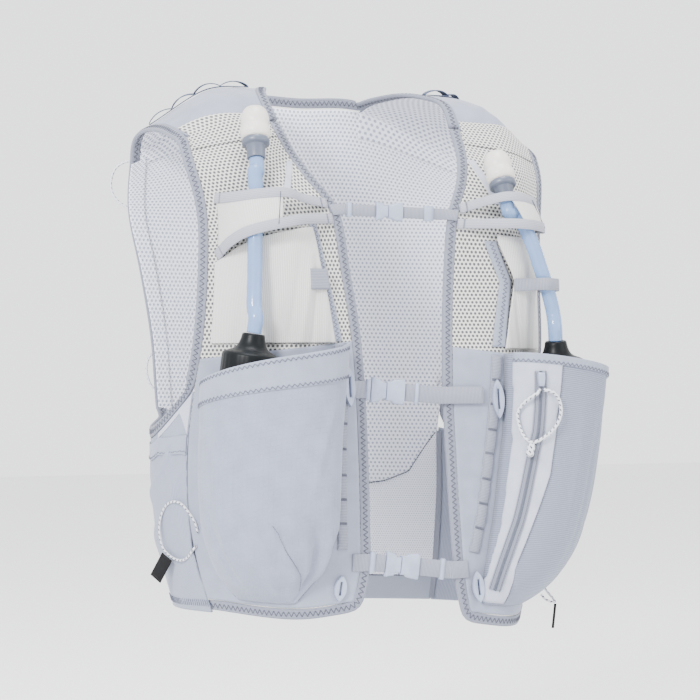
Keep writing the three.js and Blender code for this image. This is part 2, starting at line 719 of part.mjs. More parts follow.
// Chest straps. down is the level on each front edge, reach how far the webbing runs on past the
// edge on to each panel, leftLift its height there over the left panel, and tongueEnd and socketEnd
// the ends of the fastened buckle, out from the middle plane.
const straps = table('name width down rightReach leftReach leftLift tongueEnd socketEnd height', [
  ['top', topWebbingWidth, 0.304, -0.6, -0.6, tapeLift, -18, 7, 16],
  ['middle', lowerWebbingWidth, 0.598, 2, 28, overDaisyLift, -33, -2, 22],
  ['bottom', lowerWebbingWidth, 0.886, 8, 4, tapeLift, -27, 4, 22],
]);
const forward = vector(0, -1, 0);

// Half a fastened buckle, from its outer bar at x = 0 to where it meets the other half
function buckleHalf(length, height, slotHeight, neck, depth) {
  const half = height / 2;
  const narrow = neck * half;
  const shoulder = 0.45 * length;
  const waist = 0.7 * length;
  const shape = new THREE.Shape();
  shape.moveTo(0, 2 - half).lineTo(2, -half).lineTo(shoulder, -half).lineTo(waist, -narrow);
  shape.lineTo(length, -narrow).lineTo(length, narrow).lineTo(waist, narrow).lineTo(shoulder, half);
  shape.lineTo(2, half).lineTo(0, half - 2).closePath();
  const slot = new THREE.Path();
  const reach = slotHeight / 2;
  slot.moveTo(1.8, -reach).lineTo(1.8, reach).lineTo(4.2, reach).lineTo(4.2, -reach).closePath();
  shape.holes.push(slot);
  return new THREE.ExtrudeGeometry(shape, { depth, bevelEnabled: false }).translate(0, 0, -depth / 2);
}

for (const strap of straps) {
  const edgeRun = bindingGap + bindingWidth + 3;
  const liftOn = { right: tapeLift, left: strap.leftLift };
  const endPoint = (name) => fronts[name].at(-edgeRun, strap.down, liftOn[name]);
  const rightEnd = endPoint('right');
  const span = endPoint('left').sub(rightEnd);
  const across = span.clone().normalize();
  const facing = forward.clone().addScaledVector(across, -forward.dot(across)).normalize();
  const wide = facing.clone().cross(across).normalize();
  const atX = (x) => rightEnd.clone().addScaledVector(span, (x - rightEnd.x) / span.x);
  const webbing = (name, reach, buckleX) => {
    const front = fronts[name];
    const onPanel = shares(5, reach, -edgeRun).map((a) => ({
      middle: front.at(a, strap.down, liftOn[name]), wide: front.runDown(a, strap.down).negate(),
      normal: front.normal(Math.max(a, 0), strap.down),
    }));
    const free = shares(4, 0.25, 1).map((share) => ({
      middle: onPanel.at(-1).middle.clone().lerp(atX(buckleX), share), wide, normal: facing,
    }));
    return strip([...onPanel, ...free], strap.width, webbingThickness);
  };
  const rightWebbing = webbing('right', strap.rightReach, strap.tongueEnd - seamGap);
  const leftWebbing = webbing('left', strap.leftReach, strap.socketEnd + seamGap);
  add(`${strap.name}_webbing_right`, rightWebbing, finishes.webbing);
  add(`${strap.name}_webbing_left`, leftWebbing, finishes.webbing);
  const meet = mix(strap.tongueEnd, strap.socketEnd, 0.45);
  const slotHeight = strap.width + 0.6;
  const tongueFrame = new THREE.Matrix4().makeBasis(across, wide, facing).setPosition(atX(strap.tongueEnd));
  const socketFrame = new THREE.Matrix4().makeBasis(
    across.clone().negate(), wide.clone().negate(), facing,
  ).setPosition(atX(strap.socketEnd));
  add(`${strap.name}_buckle_tongue`, buckleHalf(
    meet - seamGap / 2 - strap.tongueEnd, strap.height, slotHeight, 0.62, 0.8 * buckleThickness,
  ).applyMatrix4(tongueFrame), finishes.buckle);
  add(`${strap.name}_buckle_socket`, buckleHalf(
    strap.socketEnd - meet - seamGap / 2, strap.height, slotHeight, 0.74, buckleThickness,
  ).applyMatrix4(socketFrame), finishes.buckle);
}

// Zip on the left flask pocket: places are shares across and down the pocket
const leftPocket = pocketSurface('left');
const leftPocketOut = outwardOf(leftPocket, fronts.left.core);
const zipRows = table('u v', [[0.16, 0.07], [0.155, 0.3], [0.14, 0.55], [0.12, 0.75], [0.10, 0.92]]);
const zipCurve = new THREE.CatmullRomCurve3(zipRows.map((row) => vector(row.u, row.v, 0)));
const zipStation = (share, lift) => {
  const stop = zipCurve.getPoint(share);
  const normal = leftPocketOut(stop.x, stop.y);
  const ahead = zipCurve.getPoint(Math.min(1, share + 0.03));
  const behind = zipCurve.getPoint(Math.max(0, share - 0.03));
  const run = leftPocket(ahead.x, ahead.y).sub(leftPocket(behind.x, behind.y)).normalize();
  const middle = leftPocket(stop.x, stop.y).addScaledVector(normal, lift);
  return { middle, wide: normal.clone().cross(run).normalize(), normal, run };
};
const zipLift = pocketThickness + 1;
const zipStations = shares(15, 0, 1).map((share) => zipStation(share, zipLift));
add('zip_tape', strip(zipStations, zipTapeWidth, tapeThickness), finishes.binding);
const sliderAt = zipStation(0.04, zipLift + tapeThickness + seamGap);
const slider = new THREE.BoxGeometry(7, 12, 4).translate(0, 0, 2);
slider.applyMatrix4(new THREE.Matrix4().makeBasis(
  sliderAt.wide, sliderAt.normal.clone().cross(sliderAt.wide), sliderAt.normal,
).setPosition(sliderAt.middle));
add('zip_slider', slider, finishes.buckle);

// Cords that lie free. Their points stay as chosen, in millimetres.
const cordRoutes = {
  shoulder_cord_right: [
    [-169.9, 108.1, -57.3], [-175.5, 113.5, -58.5], [-181.5, 118.5, -63], [-184.5, 121.5, -70],
    [-185.5, 122.5, -78], [-184.5, 121.5, -86], [-180, 118, -94], [-170.9, 110.9, -101.2],
  ],
  back_cord_right: [
    [-149.8, 105.7, -230.1], [-153.5, 107, -233], [-156, 107.8, -239], [-156.8, 107.8, -246],
    [-155.3, 107.5, -254], [-151.8, 107, -261], [-147.1, 105.9, -265.6],
  ],
  back_cord_left: [
    [151.8, 106.2, -216.3], [156.5, 106.5, -220], [159.5, 103, -226.5], [158, 98.5, -234.5],
    [153, 97, -242.5], [147.5, 97.6, -249], [142, 99.3, -255], [138.3, 101.7, -260.9],
  ],
  draw_cord_right: [
    [-166.6, -34.4, -384.3], [-170, -35.5, -375], [-174, -30, -366], [-177, -22, -360],
    [-180, -12, -358.5], [-182.5, -2, -362], [-184, 5, -370], [-184, 10, -380],
    [-182.5, 12.5, -390], [-180.3, 11, -399.5], [-177.5, 4, -405.5], [-174.5, -6, -409],
    [-172, -15, -408.8], [-170.3, -23, -405], [-169.5, -29, -400], [-167, -31.9, -395.7],
  ],
  hem_cord_left: [
    [160.4, -58.1, -440.9], [163.5, -60.5, -446], [166.7, -63.5, -451], [167.3, -66, -454],
    [163, -66.5, -453.7], [158, -65.8, -451.5], [154.2, -64.4, -447.3],
  ],
  zip_cord: [
    [112, -135, -262.4], [109.5, -136.8, -265], [104, -134, -269], [98.5, -128.5, -275.5],
    [95.5, -125.5, -283],
    [96, -127, -292], [97, -130.5, -299.5], [99, -134.5, -305], [103, -138, -308], [108, -140, -306.5],
    [114.5, -140.5, -303], [121, -140.5, -298.5], [127.5, -139.8, -291.5], [131.5, -138.5, -282],
    [130.2, -138, -272], [124.5, -139.2, -265.5], [119.5, -138.6, -263.4], [115.8, -136.1, -262.4],
  ],
};
const cordSteps = {
  shoulder_cord_right: 10, back_cord_right: 8, back_cord_left: 10, draw_cord_right: 22, hem_cord_left: 9,
  zip_cord: 22,
};
for (const [name, points] of Object.entries(cordRoutes)) {
  const radius = name === 'zip_cord' ? zipCordRadius : loopCordRadius;
  const route = points.map((point) => vector(...point));
  add(name, tubeAlong(route, radius, 8, cordSteps[name]), finishes.cord);
}

// The zip cord's knot, and the black tabs on the two draw cords
const knotProfile = table('r h', [
  [0, 0], [0.8, 0.04], [1, 0.3], [0.8, 0.5], [1, 0.7], [0.7, 0.96], [0, 1],
]);
const knotTop = vector(102.4, -138.9, -309.2);
const knotWay = vector(0.4, 0.3, 0.85).normalize();
const knotFoot = knotTop.clone().addScaledVector(knotWay, -knotLength);
add('zip_knot', turned(knotProfile, 10, knotFoot, knotWay, knotRadius, knotLength), finishes.cord);

function tabBetween(top, bottom, wideHint, width) {
  const run = bottom.clone().sub(top).normalize();
  const normal = run.clone().cross(wideHint).normalize();
  const wide = normal.clone().cross(run).normalize();
  return strip([{ middle: top, wide, normal }, { middle: bottom, wide, normal }], width, tabThickness);
}
add('draw_tab_right', tabBetween(
  vector(-179, 4.2, -407), vector(-182.5, 22, -427), vector(6.6, -9, -4.3), drawTabWidth,
), finishes.tab);
add('hem_tab_left', tabBetween(
  vector(167.2, -66.5, -455.7), vector(165.5, -65, -477.5), vector(1, 0.2, 0.1), hemTabWidth,
), finishes.tab);

export default vest;
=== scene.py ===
"""Looks of a running hydration vest in its worn shape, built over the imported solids.

Lengths in the tables are millimetres and become metres where a mesh is made.
+Z is up, -Y is the wearer's front and +X the wearer's left.
"""

import math

import bpy
import numpy as np
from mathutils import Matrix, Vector


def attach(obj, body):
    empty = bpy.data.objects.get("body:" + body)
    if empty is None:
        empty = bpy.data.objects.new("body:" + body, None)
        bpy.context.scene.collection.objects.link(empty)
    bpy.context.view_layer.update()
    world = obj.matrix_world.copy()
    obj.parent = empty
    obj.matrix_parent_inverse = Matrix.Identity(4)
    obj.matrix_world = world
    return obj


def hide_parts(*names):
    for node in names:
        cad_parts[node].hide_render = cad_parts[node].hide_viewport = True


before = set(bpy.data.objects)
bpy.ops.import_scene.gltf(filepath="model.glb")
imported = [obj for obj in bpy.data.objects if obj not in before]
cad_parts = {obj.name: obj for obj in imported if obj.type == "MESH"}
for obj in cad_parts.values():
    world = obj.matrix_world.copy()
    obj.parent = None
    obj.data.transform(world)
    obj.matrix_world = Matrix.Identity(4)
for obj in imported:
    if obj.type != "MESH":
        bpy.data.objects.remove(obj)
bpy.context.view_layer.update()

MM = 0.001
SIDES = {"right": -1, "left": 1}

# Camera, at the photo's angle: level, 26 degrees to the wearer's right of straight ahead
VIEW_TURN = math.radians(-26)
VIEW_DISTANCE = 2.5
VIEW_HEIGHT = -0.228
VIEW_SHIFT = -0.0045
LENS_MM = 144
SENSOR_MM = 36

camera_data = bpy.data.cameras.new("photo_camera")
camera_data.lens = LENS_MM
camera_data.sensor_width = SENSOR_MM
camera_data.dof.use_dof = False
camera = bpy.data.objects.new("photo_camera", camera_data)
sideways = Vector((math.cos(VIEW_TURN), math.sin(VIEW_TURN), 0))
backwards = Vector((math.sin(VIEW_TURN), -math.cos(VIEW_TURN), 0))
camera.location = backwards * VIEW_DISTANCE + sideways * VIEW_SHIFT + Vector((0, 0, VIEW_HEIGHT))
camera.rotation_euler = (math.radians(90), 0, VIEW_TURN)
bpy.context.scene.collection.objects.link(camera)
bpy.context.scene.camera = camera

# Free cords: the diameter and the points of each
LOOP_CORD = 2.0
ZIP_CORD = 3.0
CORDS = {
    "shoulder_cord_right": (LOOP_CORD, [
        (-169.9, 108.1, -57.3), (-175.5, 113.5, -58.5), (-181.5, 118.5, -63), (-184.5, 121.5, -70),
        (-185.5, 122.5, -78), (-184.5, 121.5, -86), (-180, 118, -94), (-170.9, 110.9, -101.2),
    ]),
    "back_cord_right": (LOOP_CORD, [
        (-149.8, 105.7, -230.1), (-153.5, 107, -233), (-156, 107.8, -239), (-156.8, 107.8, -246),
        (-155.3, 107.5, -254), (-151.8, 107, -261), (-147.1, 105.9, -265.6),
    ]),
    "back_cord_left": (LOOP_CORD, [
        (151.8, 106.2, -216.3), (156.5, 106.5, -220), (159.5, 103, -226.5), (158, 98.5, -234.5),
        (153, 97, -242.5), (147.5, 97.6, -249), (142, 99.3, -255), (138.3, 101.7, -260.9),
    ]),
    "draw_cord_right": (LOOP_CORD, [
        (-166.6, -34.4, -384.3), (-170, -35.5, -375), (-174, -30, -366), (-177, -22, -360),
        (-180, -12, -358.5), (-182.5, -2, -362), (-184, 5, -370), (-184, 10, -380),
        (-182.5, 12.5, -390), (-180.3, 11, -399.5), (-177.5, 4, -405.5), (-174.5, -6, -409),
        (-172, -15, -408.8), (-170.3, -23, -405), (-169.5, -29, -400), (-167, -31.9, -395.7),
    ]),
    "hem_cord_left": (LOOP_CORD, [
        (160.4, -58.1, -440.9), (163.5, -60.5, -446), (166.7, -63.5, -451), (167.3, -66, -454),
        (163, -66.5, -453.7), (158, -65.8, -451.5), (154.2, -64.4, -447.3),
    ]),
    "zip_cord": (ZIP_CORD, [
        (112, -135, -262.4), (109.5, -136.8, -265), (104, -134, -269), (98.5, -128.5, -275.5),
        (95.5, -125.5, -283), (96, -127, -292), (97, -130.5, -299.5), (99, -134.5, -305),
        (103, -138, -308), (108, -140, -306.5), (114.5, -140.5, -303), (121, -140.5, -298.5),
        (127.5, -139.8, -291.5), (131.5, -138.5, -282), (130.2, -138, -272),
        (124.5, -139.2, -265.5), (119.5, -138.6, -263.4), (115.8, -136.1, -262.4),
    ]),
}


# Curves and surfaces
def through(controls, shares):
    """Points at shares of a smooth run through the controls, with its knots by centripetal spacing."""
    controls = np.asarray(controls, float)
    count = len(controls)
    padded = np.vstack([
        2 * controls[0] - controls[1], controls, 2 * controls[-1] - controls[-2],
    ])
    place = np.clip(np.asarray(shares, float), 0, 1) * (count - 1)
    first = np.minimum(place.astype(int), count - 2)
    part = (place - first)[:, None]
    p0, p1, p2, p3 = (padded[first + k] for k in range(4))
    gap = lambda a, b: np.maximum(np.sum((b - a) ** 2, axis=1) ** 0.25, 1e-4)[:, None]
    d0, d1, d2 = gap(p0, p1), gap(p1, p2), gap(p2, p3)
    t1 = ((p1 - p0) / d0 - (p2 - p0) / (d0 + d1) + (p2 - p1) / d1) * d1
    t2 = ((p2 - p1) / d1 - (p3 - p1) / (d1 + d2) + (p3 - p2) / d2) * d1
    return (
        p1 + t1 * part + (-3 * p1 + 3 * p2 - 2 * t1 - t2) * part ** 2
        + (2 * p1 - 2 * p2 + t1 + t2) * part ** 3
    )


def unit(vectors):
    return vectors / np.maximum(np.linalg.norm(vectors, axis=-1, keepdims=True), 1e-9)


def mix(a, b, share):
    return a + (b - a) * share


def part_of(x, start, end):
    """How far x lies from the start to the end, from nought to one."""
    return np.clip((np.asarray(x, float) - start) / (end - start), 0, 1)


def smooth(x, start, end):
    share = part_of(x, start, end)
    return share * share * (3 - 2 * share)


def run_of(points):
    """How far along its run each point of a line lies, in millimetres."""
    steps = np.linalg.norm(np.diff(points, axis=0), axis=1)
    return np.concatenate([[0], np.cumsum(steps)])


# The named sizes that the vest's shapes are worked out from, the same as the solids have
VEST_LENGTH = 460
LEFT_HEM_DROP = 10
HALF_WIDTH = 168
FRONT_DEPTH = 112
BACK_DEPTH = 118
SHOULDER_SLOPE = 47
PANEL = 2.2
EDGE_GAP = 0.9
EDGE_WIDTH = 8.5


def length_at(side):
    return VEST_LENGTH + LEFT_HEM_DROP * (side + 1) / 2


def rail(side, rows):
    """A rail from shares out of the half width, fore of the depth and down of the length."""
    points = []
    for out, fore, down in rows:
        depth = FRONT_DEPTH if fore > 0 else BACK_DEPTH
        points.append((side * out * HALF_WIDTH, -fore * depth, -down * length_at(side)))
    return points


# Rails of the front, the yoke and the side, from the neck's side outwards. Each row is a share out of the
# half width, fore of the depth and down of the length.
FRONT_RAILS = (
    [
        (0.560, 0.179, 0.065), (0.530, 0.393, 0.126), (0.470, 0.545, 0.176), (0.375, 0.670, 0.233),
        (0.327, 0.732, 0.348), (0.292, 0.804, 0.467), (0.280, 0.848, 0.572), (0.280, 0.893, 0.674),
        (0.286, 0.946, 0.804), (0.298, 0.982, 0.902), (0.345, 0.970, 0.985),
    ],
    [
        (0.786, 0.232, 0.072), (0.762, 0.482, 0.143), (0.726, 0.607, 0.187), (0.690, 0.705, 0.243),
        (0.655, 0.777, 0.348), (0.643, 0.821, 0.467), (0.643, 0.848, 0.572), (0.649, 0.866, 0.674),
        (0.643, 0.902, 0.804), (0.625, 0.911, 0.902), (0.600, 0.890, 1.000),
    ],
    [
        (1.000, 0.125, 0.096), (0.994, 0.268, 0.152), (0.970, 0.339, 0.200), (0.952, 0.375, 0.257),
        (0.952, 0.375, 0.348), (0.970, 0.357, 0.467), (0.994, 0.268, 0.572), (1.018, 0.232, 0.674),
        (1.012, 0.232, 0.804), (0.964, 0.250, 0.902), (0.893, 0.268, 0.985),
    ],
)
YOKE_RAILS = (
    [
        (0.560, 0.179, 0.065), (0.568, 0.000, 0.016), (0.524, -0.170, 0.000), (0.460, -0.355, -0.009),
        (0.405, -0.635, -0.007), (0.372, -0.850, 0.000), (0.360, -0.945, 0.009),
    ],
    [
        (0.786, 0.232, 0.072), (0.790, 0.030, 0.028), (0.768, -0.190, 0.006), (0.745, -0.380, 0.000),
        (0.715, -0.635, 0.007), (0.700, -0.850, 0.022), (0.692, -0.955, 0.048),
    ],
    [
        (1.000, 0.125, 0.096), (1.006, 0.000, 0.087), (1.000, -0.150, 0.076), (0.994, -0.355, 0.067),
        (0.994, -0.635, 0.067), (0.990, -0.820, 0.082), (0.988, -0.881, 0.109),
    ],
)
# down, out, depth at the edge, depth in the middle, share of the shoulder slope
BACK_ROWS = [
    (0.007, 0.978, 0.881, 0.985, 1.0), (0.130, 0.985, 0.907, 1.000, 0.35),
    (0.228, 0.983, 0.910, 1.008, 0.0), (0.337, 0.925, 0.890, 1.008, 0.0),
    (0.470, 0.866, 0.873, 1.000, 0.0), (0.565, 0.846, 0.868, 0.990, 0.0),
    (0.640, 0.824, 0.893, 0.975, 0.0), (0.783, 0.818, 0.881, 0.950, 0.0),
    (0.924, 0.780, 0.839, 0.924, 0.0), (0.985, 0.750, 0.822, 0.907, 0.0),
]
BACK_STOPS = (-1, -0.7, -0.36, 0, 0.36, 0.7, 1)
SIDE_FORWARD = [
    (1.080, -0.150, 0.655), (1.077, -0.150, 0.780), (1.024, -0.150, 0.890), (0.945, -0.130, 0.985),
]
SIDE_REARWARD = [
    (1.000, -0.540, 0.662), (0.994, -0.530, 0.780), (0.952, -0.520, 0.890), (0.885, -0.510, 0.985),
]


class Cloth:
    """A surface spanned by rails, kept as a fine grid that is read by straight mixing.

    The core is a point inside the vest, which the surface's normals face away from.
    """

    def __init__(self, rails, core, rows=240, columns=120, section_steps=240):
        self.core = np.array(core, float)
        self.downs = np.linspace(0, 1, rows + 1)
        runs = np.stack([rail_points(self.downs) for rail_points in rails], axis=1)
        fine = np.linspace(0, 1, section_steps + 1)
        grid = []
        widths = []
        for controls in runs:
            section = through(controls, fine)
            run = run_of(section)
            wanted = np.linspace(0, run[-1], columns + 1)
            grid.append(np.stack([np.interp(wanted, run, section[:, k]) for k in range(3)], axis=1))
            widths.append(run[-1])
        self.points = np.array(grid)
        self.widths = np.array(widths)
        self.tangents = unit(np.gradient(self.points, axis=1))
        self.drops = unit(np.gradient(self.points, axis=0))
        normals = unit(np.cross(self.tangents, self.drops))
        inward = np.sum(normals * (self.points - self.core), axis=2) < 0
        normals[inward] *= -1
        self.normals = normals
        self.run = run_of(self.points[:, columns // 2])

    def read(self, grid, share, down):
        rows, columns = grid.shape[0] - 1, grid.shape[1] - 1
        x = np.clip(share, 0, 1) * columns
        y = np.clip(down, 0, 1) * rows
        i = np.minimum(x.astype(int), columns - 1)
        j = np.minimum(y.astype(int), rows - 1)
        fx, fy = (x - i)[..., None], (y - j)[..., None]
        upper = grid[j, i] * (1 - fx) + grid[j, i + 1] * fx
        lower = grid[j + 1, i] * (1 - fx) + grid[j + 1, i + 1] * fx
        return upper * (1 - fy) + lower * fy

    def width(self, down):
        return np.interp(down, self.downs, self.widths)

    def at(self, share, down, lift=0.0):
        """The point and the outward normal at a share of the width, a share down and a lift."""
        share, down, lift = np.broadcast_arrays(
            np.asarray(share, float), np.asarray(down, float), np.asarray(lift, float)
        )
        normal = unit(self.read(self.normals, share, down))
        tangent = self.read(self.tangents, share, down)
        beyond = (share - np.clip(share, 0, 1)) * self.width(down)
        point = self.read(self.points, share, down) + tangent * beyond[..., None]
        return point + normal * lift[..., None], normal

    def drop(self, share, down):
        return unit(self.read(self.drops, np.asarray(share, float), np.asarray(down, float)))

    def tangent(self, share, down):
        return unit(self.read(self.tangents, np.asarray(share, float), np.asarray(down, float)))


def run_through(points, start=0.0):
    return lambda downs: through(points, start + (1 - start) * downs)


def back_rail(stop):
    reach = abs(stop)
    slope = SHOULDER_SLOPE * max(0, (reach - 0.36) / 0.64) ** 1.2
    points = []
    for down, out, edge, centre, steep in BACK_ROWS:
        depth = mix(centre, edge, reach ** 2.2) * BACK_DEPTH
        points.append((stop * out * HALF_WIDTH, depth, -down * length_at(stop) - slope * steep))
    return points


ARMHOLE_SHARE = 0.6
BACK_ARMHOLE = 6 / 9
back = Cloth([run_through(back_rail(stop)) for stop in BACK_STOPS], (0, 0, -0.4 * VEST_LENGTH))
fronts, yokes, flanks = {}, {}, {}
for name, side in SIDES.items():
    fronts[name] = Cloth(
        [run_through(rail(side, rows)) for rows in FRONT_RAILS],
        (side * 0.3 * HALF_WIDTH, 0.2 * BACK_DEPTH, -0.5 * VEST_LENGTH),
    )
    yokes[name] = Cloth(
        [run_through(rail(side, rows)) for rows in YOKE_RAILS],
        (side * 0.65 * HALF_WIDTH, 0.4 * BACK_DEPTH, -0.4 * VEST_LENGTH),
    )
    flanks[name] = Cloth(
        [
            run_through(rail(side, FRONT_RAILS[2]), ARMHOLE_SHARE),
            run_through(rail(side, SIDE_FORWARD)),
            run_through(rail(side, SIDE_REARWARD)),
            run_through(back_rail(side), BACK_ARMHOLE),
        ],
        (side * 0.3 * HALF_WIDTH, 0.2 * BACK_DEPTH, -0.8 * VEST_LENGTH),
    )


# Materials. Patterns are drawn in millimetres over each piece's own layout map.
class Shade:
    """A material under construction, with short calls for its nodes."""

    def __init__(self, name, color, roughness, **constants):
        self.material = bpy.data.materials.new(name)
        self.material.use_nodes = True
        self.nodes = self.material.node_tree.nodes
        self.links = self.material.node_tree.links
        self.bsdf = self.nodes["Principled BSDF"]
        self.bsdf.inputs["Base Color"].default_value = (*color, 1)
        self.bsdf.inputs["Roughness"].default_value = roughness
        for socket, value in constants.items():
            self.bsdf.inputs[socket.replace("_", " ")].default_value = value

    def node(self, kind, **settings):
        made = self.nodes.new(kind)
        for key, value in settings.items():
            setattr(made, key, value)
        return made

    def put(self, socket, value):
        if hasattr(value, "links"):
            self.links.new(value, socket)
        else:
            socket.default_value = value

    def math(self, operation, a, b=0.0, c=0.0):
        made = self.node("ShaderNodeMath", operation=operation)
        for socket, value in zip(made.inputs, (a, b, c)):
            self.put(socket, value)
        return made.outputs[0]

    def layout(self):
        split = self.node("ShaderNodeSeparateXYZ")
        self.links.new(self.node("ShaderNodeUVMap", uv_map="layout").outputs[0], split.inputs[0])
        return split.outputs[0], split.outputs[1]

    def object_place(self):
        return self.node("ShaderNodeTexCoord").outputs["Object"]

    def step(self, value, low, high):
        made = self.node("ShaderNodeMapRange", interpolation_type="SMOOTHSTEP")
        self.put(made.inputs["Value"], value)
        made.inputs["From Min"].default_value = low
        made.inputs["From Max"].default_value = high
        return made.outputs["Result"]

    def lattice(self, pitch, tall):
        """Distance in millimetres to the nearest point of a staggered lattice."""
        u, v = self.layout()
        near = []
        for shift in (0.0, 0.5):
            dx = self.math("PINGPONG", self.math("ADD", u, shift * pitch), pitch / 2)
            dy = self.math("PINGPONG", self.math("ADD", v, shift * tall), tall / 2)
            squares = [self.math("POWER", way, 2.0) for way in (dx, dy)]
            near.append(self.math("SQRT", self.math("ADD", *squares)))
        return self.math("MINIMUM", near[0], near[1])

    def lines(self, coordinate, pitch, share):
        """One over stripes of a share of the pitch, and nought between them."""
        half = pitch / 2
        return self.step(self.math("PINGPONG", coordinate, half), half * (1 - share), half * (1 - share / 2))

    def noise(self, scale, detail=3.0, distortion=0.0):
        made = self.node("ShaderNodeTexNoise")
        self.links.new(self.object_place(), made.inputs["Vector"])
        made.inputs["Scale"].default_value = scale
        made.inputs["Detail"].default_value = detail
        made.inputs["Distortion"].default_value = distortion
        return made.outputs["Fac"]

    def tint(self, factor, first, second):
        made = self.node("ShaderNodeMix", data_type="RGBA")
        self.put(made.inputs[0], factor)
        for socket, value in ((made.inputs[6], first), (made.inputs[7], second)):
            self.put(socket, (*value, 1) if isinstance(value, tuple) else value)
        return made.outputs[2]

    def color(self, value):
        self.links.new(value, self.bsdf.inputs["Base Color"])

    def bump(self, height, strength, distance=0.0006):
        made = self.node("ShaderNodeBump")
        made.inputs["Strength"].default_value = strength
        made.inputs["Distance"].default_value = distance
        self.put(made.inputs["Height"], height)
        self.links.new(made.outputs[0], self.bsdf.inputs["Normal"])


def uneven(shade, color, darkest, scale, detail=3.0):
    """Lets a color waver softly down to a share of itself."""
    lower = tuple(darkest * c for c in color)
    shade.color(shade.tint(shade.step(shade.noise(scale, detail), 0.3, 0.7), lower, color))


def net(name, thread, hole, pitch, radius):
    """An open mesh: light threads round staggered holes, coloured darker as painted shade in their hollows.
    """
    shade = Shade(name, thread, 0.9, Sheen_Weight=0.2)
    thread_mask = shade.step(shade.lattice(pitch, pitch * 1.73), radius * 0.75, radius * 1.2)
    # The hole colour is painted shade: the mesh's hollows are coloured dark.
    shade.color(shade.tint(thread_mask, hole, thread))
    shade.bump(thread_mask, 0.7, 0.0009)
    return shade.material


def woven(name, color, pitch=0.0, relief=0.3):
    """A plain cloth with soft unevenness, and a raised grid where it has a pitch."""
    shade = Shade(name, color, 0.8, Sheen_Weight=0.15)
    uneven(shade, color, 0.9, 60.0, 4.0)
    height = shade.math("MULTIPLY", shade.noise(900.0, 2.0), 0.5)
    if pitch:
        u, v = shade.layout()
        grid = shade.math("MAXIMUM", shade.lines(u, pitch, 0.25), shade.lines(v, pitch, 0.25))
        height = shade.math("ADD", height, shade.math("MULTIPLY", grid, 0.6))
    shade.bump(height, relief)
    return shade.material


def ribbed(name, color, shadow, pitch, along=True, relief=0.7):
    """An elastic cloth or tape with ribs along or across its layout."""
    shade = Shade(name, color, 0.8, Sheen_Weight=0.1)
    u, v = shade.layout()
    rib = shade.lines(u if along else v, pitch, 0.55)
    shade.color(shade.tint(rib, shadow, color))
    shade.bump(rib, relief, 0.0005)
    return shade.material


def twisted(name, color):
    """Sewing thread, uneven along its run and finely rough."""
    shade = Shade(name, color, 0.75, Sheen_Weight=0.1)
    uneven(shade, color, 0.7, 700.0)
    shade.bump(shade.noise(2500.0, 2.0), 0.4, 0.0002)
    return shade.material


def moulded(name, color, roughness=0.4, relief=0.05, shine=0.5):
    """Moulded plastic with a fine grain."""
    shade = Shade(name, color, roughness, Specular_IOR_Level=shine)
    uneven(shade, color, 0.88, 90.0)
    shade.bump(shade.noise(1500.0, 2.0), relief, 0.0003)
    return shade.material


def flecked(name, color, fleck):
    """A braided cord with dark flecks along it."""
    shade = Shade(name, color, 0.75)
    u, v = shade.layout()
    turn = shade.math("MULTIPLY", u, 0.8)
    spot = shade.lines(shade.math("ADD", v, turn), 4.6, 0.45)
    half = shade.lines(u, 3.2, 0.75)
    shade.color(shade.tint(shade.math("MULTIPLY", spot, half), color, fleck))
    shade.bump(shade.lines(shade.math("SUBTRACT", v, turn), 1.3, 0.5), 0.5, 0.0003)
    return shade.material


def clear(name, color, roughness, transmission):
    """A see-through plastic, a little cloudy in places."""
    shade = Shade(name, color, roughness, Transmission_Weight=transmission, IOR=1.4)
    uneven(shade, color, 0.93, 45.0)
    shade.bump(shade.noise(400.0, 2.0), 0.05, 0.0003)
    return shade.material


looks = {
    # The front net's near-black second colour is painted shade in its holes.
    "front_net": net("front_net", (0.56, 0.555, 0.53), (0.07, 0.07, 0.075), 3.8, 1.25),
    "cloth": woven("cloth", (0.235, 0.258, 0.335)),
    "ripstop": woven("ripstop", (0.225, 0.25, 0.335), pitch=4.6, relief=0.5),
    "white_cloth": woven("white_cloth", (0.40, 0.425, 0.51)),
    "side_cloth": ribbed("side_cloth", (0.27, 0.295, 0.38), (0.19, 0.21, 0.28), 1.6, relief=0.4),
    "rib_cloth": ribbed("rib_cloth", (0.235, 0.26, 0.345), (0.15, 0.17, 0.23), 1.7, along=False, relief=0.5),
    "stretch": ribbed("stretch", (0.62, 0.61, 0.585), (0.48, 0.475, 0.465), 1.5, relief=0.5),
    "binding": ribbed("binding", (0.20, 0.213, 0.27), (0.15, 0.16, 0.205), 1.4, relief=0.5),
    "thread": twisted("thread", (0.06, 0.065, 0.095)),
    "seam_thread": twisted("seam_thread", (0.10, 0.108, 0.155)),
    "elastic": ribbed("elastic", (0.32, 0.33, 0.385), (0.26, 0.27, 0.32), 1.5, relief=0.4),
    "webbing": ribbed("webbing", (0.27, 0.285, 0.345), (0.18, 0.19, 0.24), 1.3, along=False),
    "buckle": moulded("buckle", (0.30, 0.34, 0.46), 0.32, 0.05),
    "cap": moulded("cap", (0.004, 0.005, 0.006), 0.38, 0.1, 0.12),
    "ring": moulded("ring", (0.085, 0.10, 0.14), 0.35),
    "flask": clear("flask", (0.70, 0.80, 0.92), 0.2, 0.7),
    "tube": clear("tube", (0.24, 0.38, 0.66), 0.12, 0.4),
    "valve": clear("valve", (0.80, 0.77, 0.73), 0.3, 0.3),
    "cord": flecked("cord", (0.62, 0.63, 0.68), (0.03, 0.03, 0.05)),
    "tab": moulded("tab", (0.004, 0.004, 0.005), 0.6, 0.1, 0.15),
    "dark_tape": ribbed("dark_tape", (0.06, 0.085, 0.15), (0.03, 0.045, 0.09), 1.3, along=False),
}


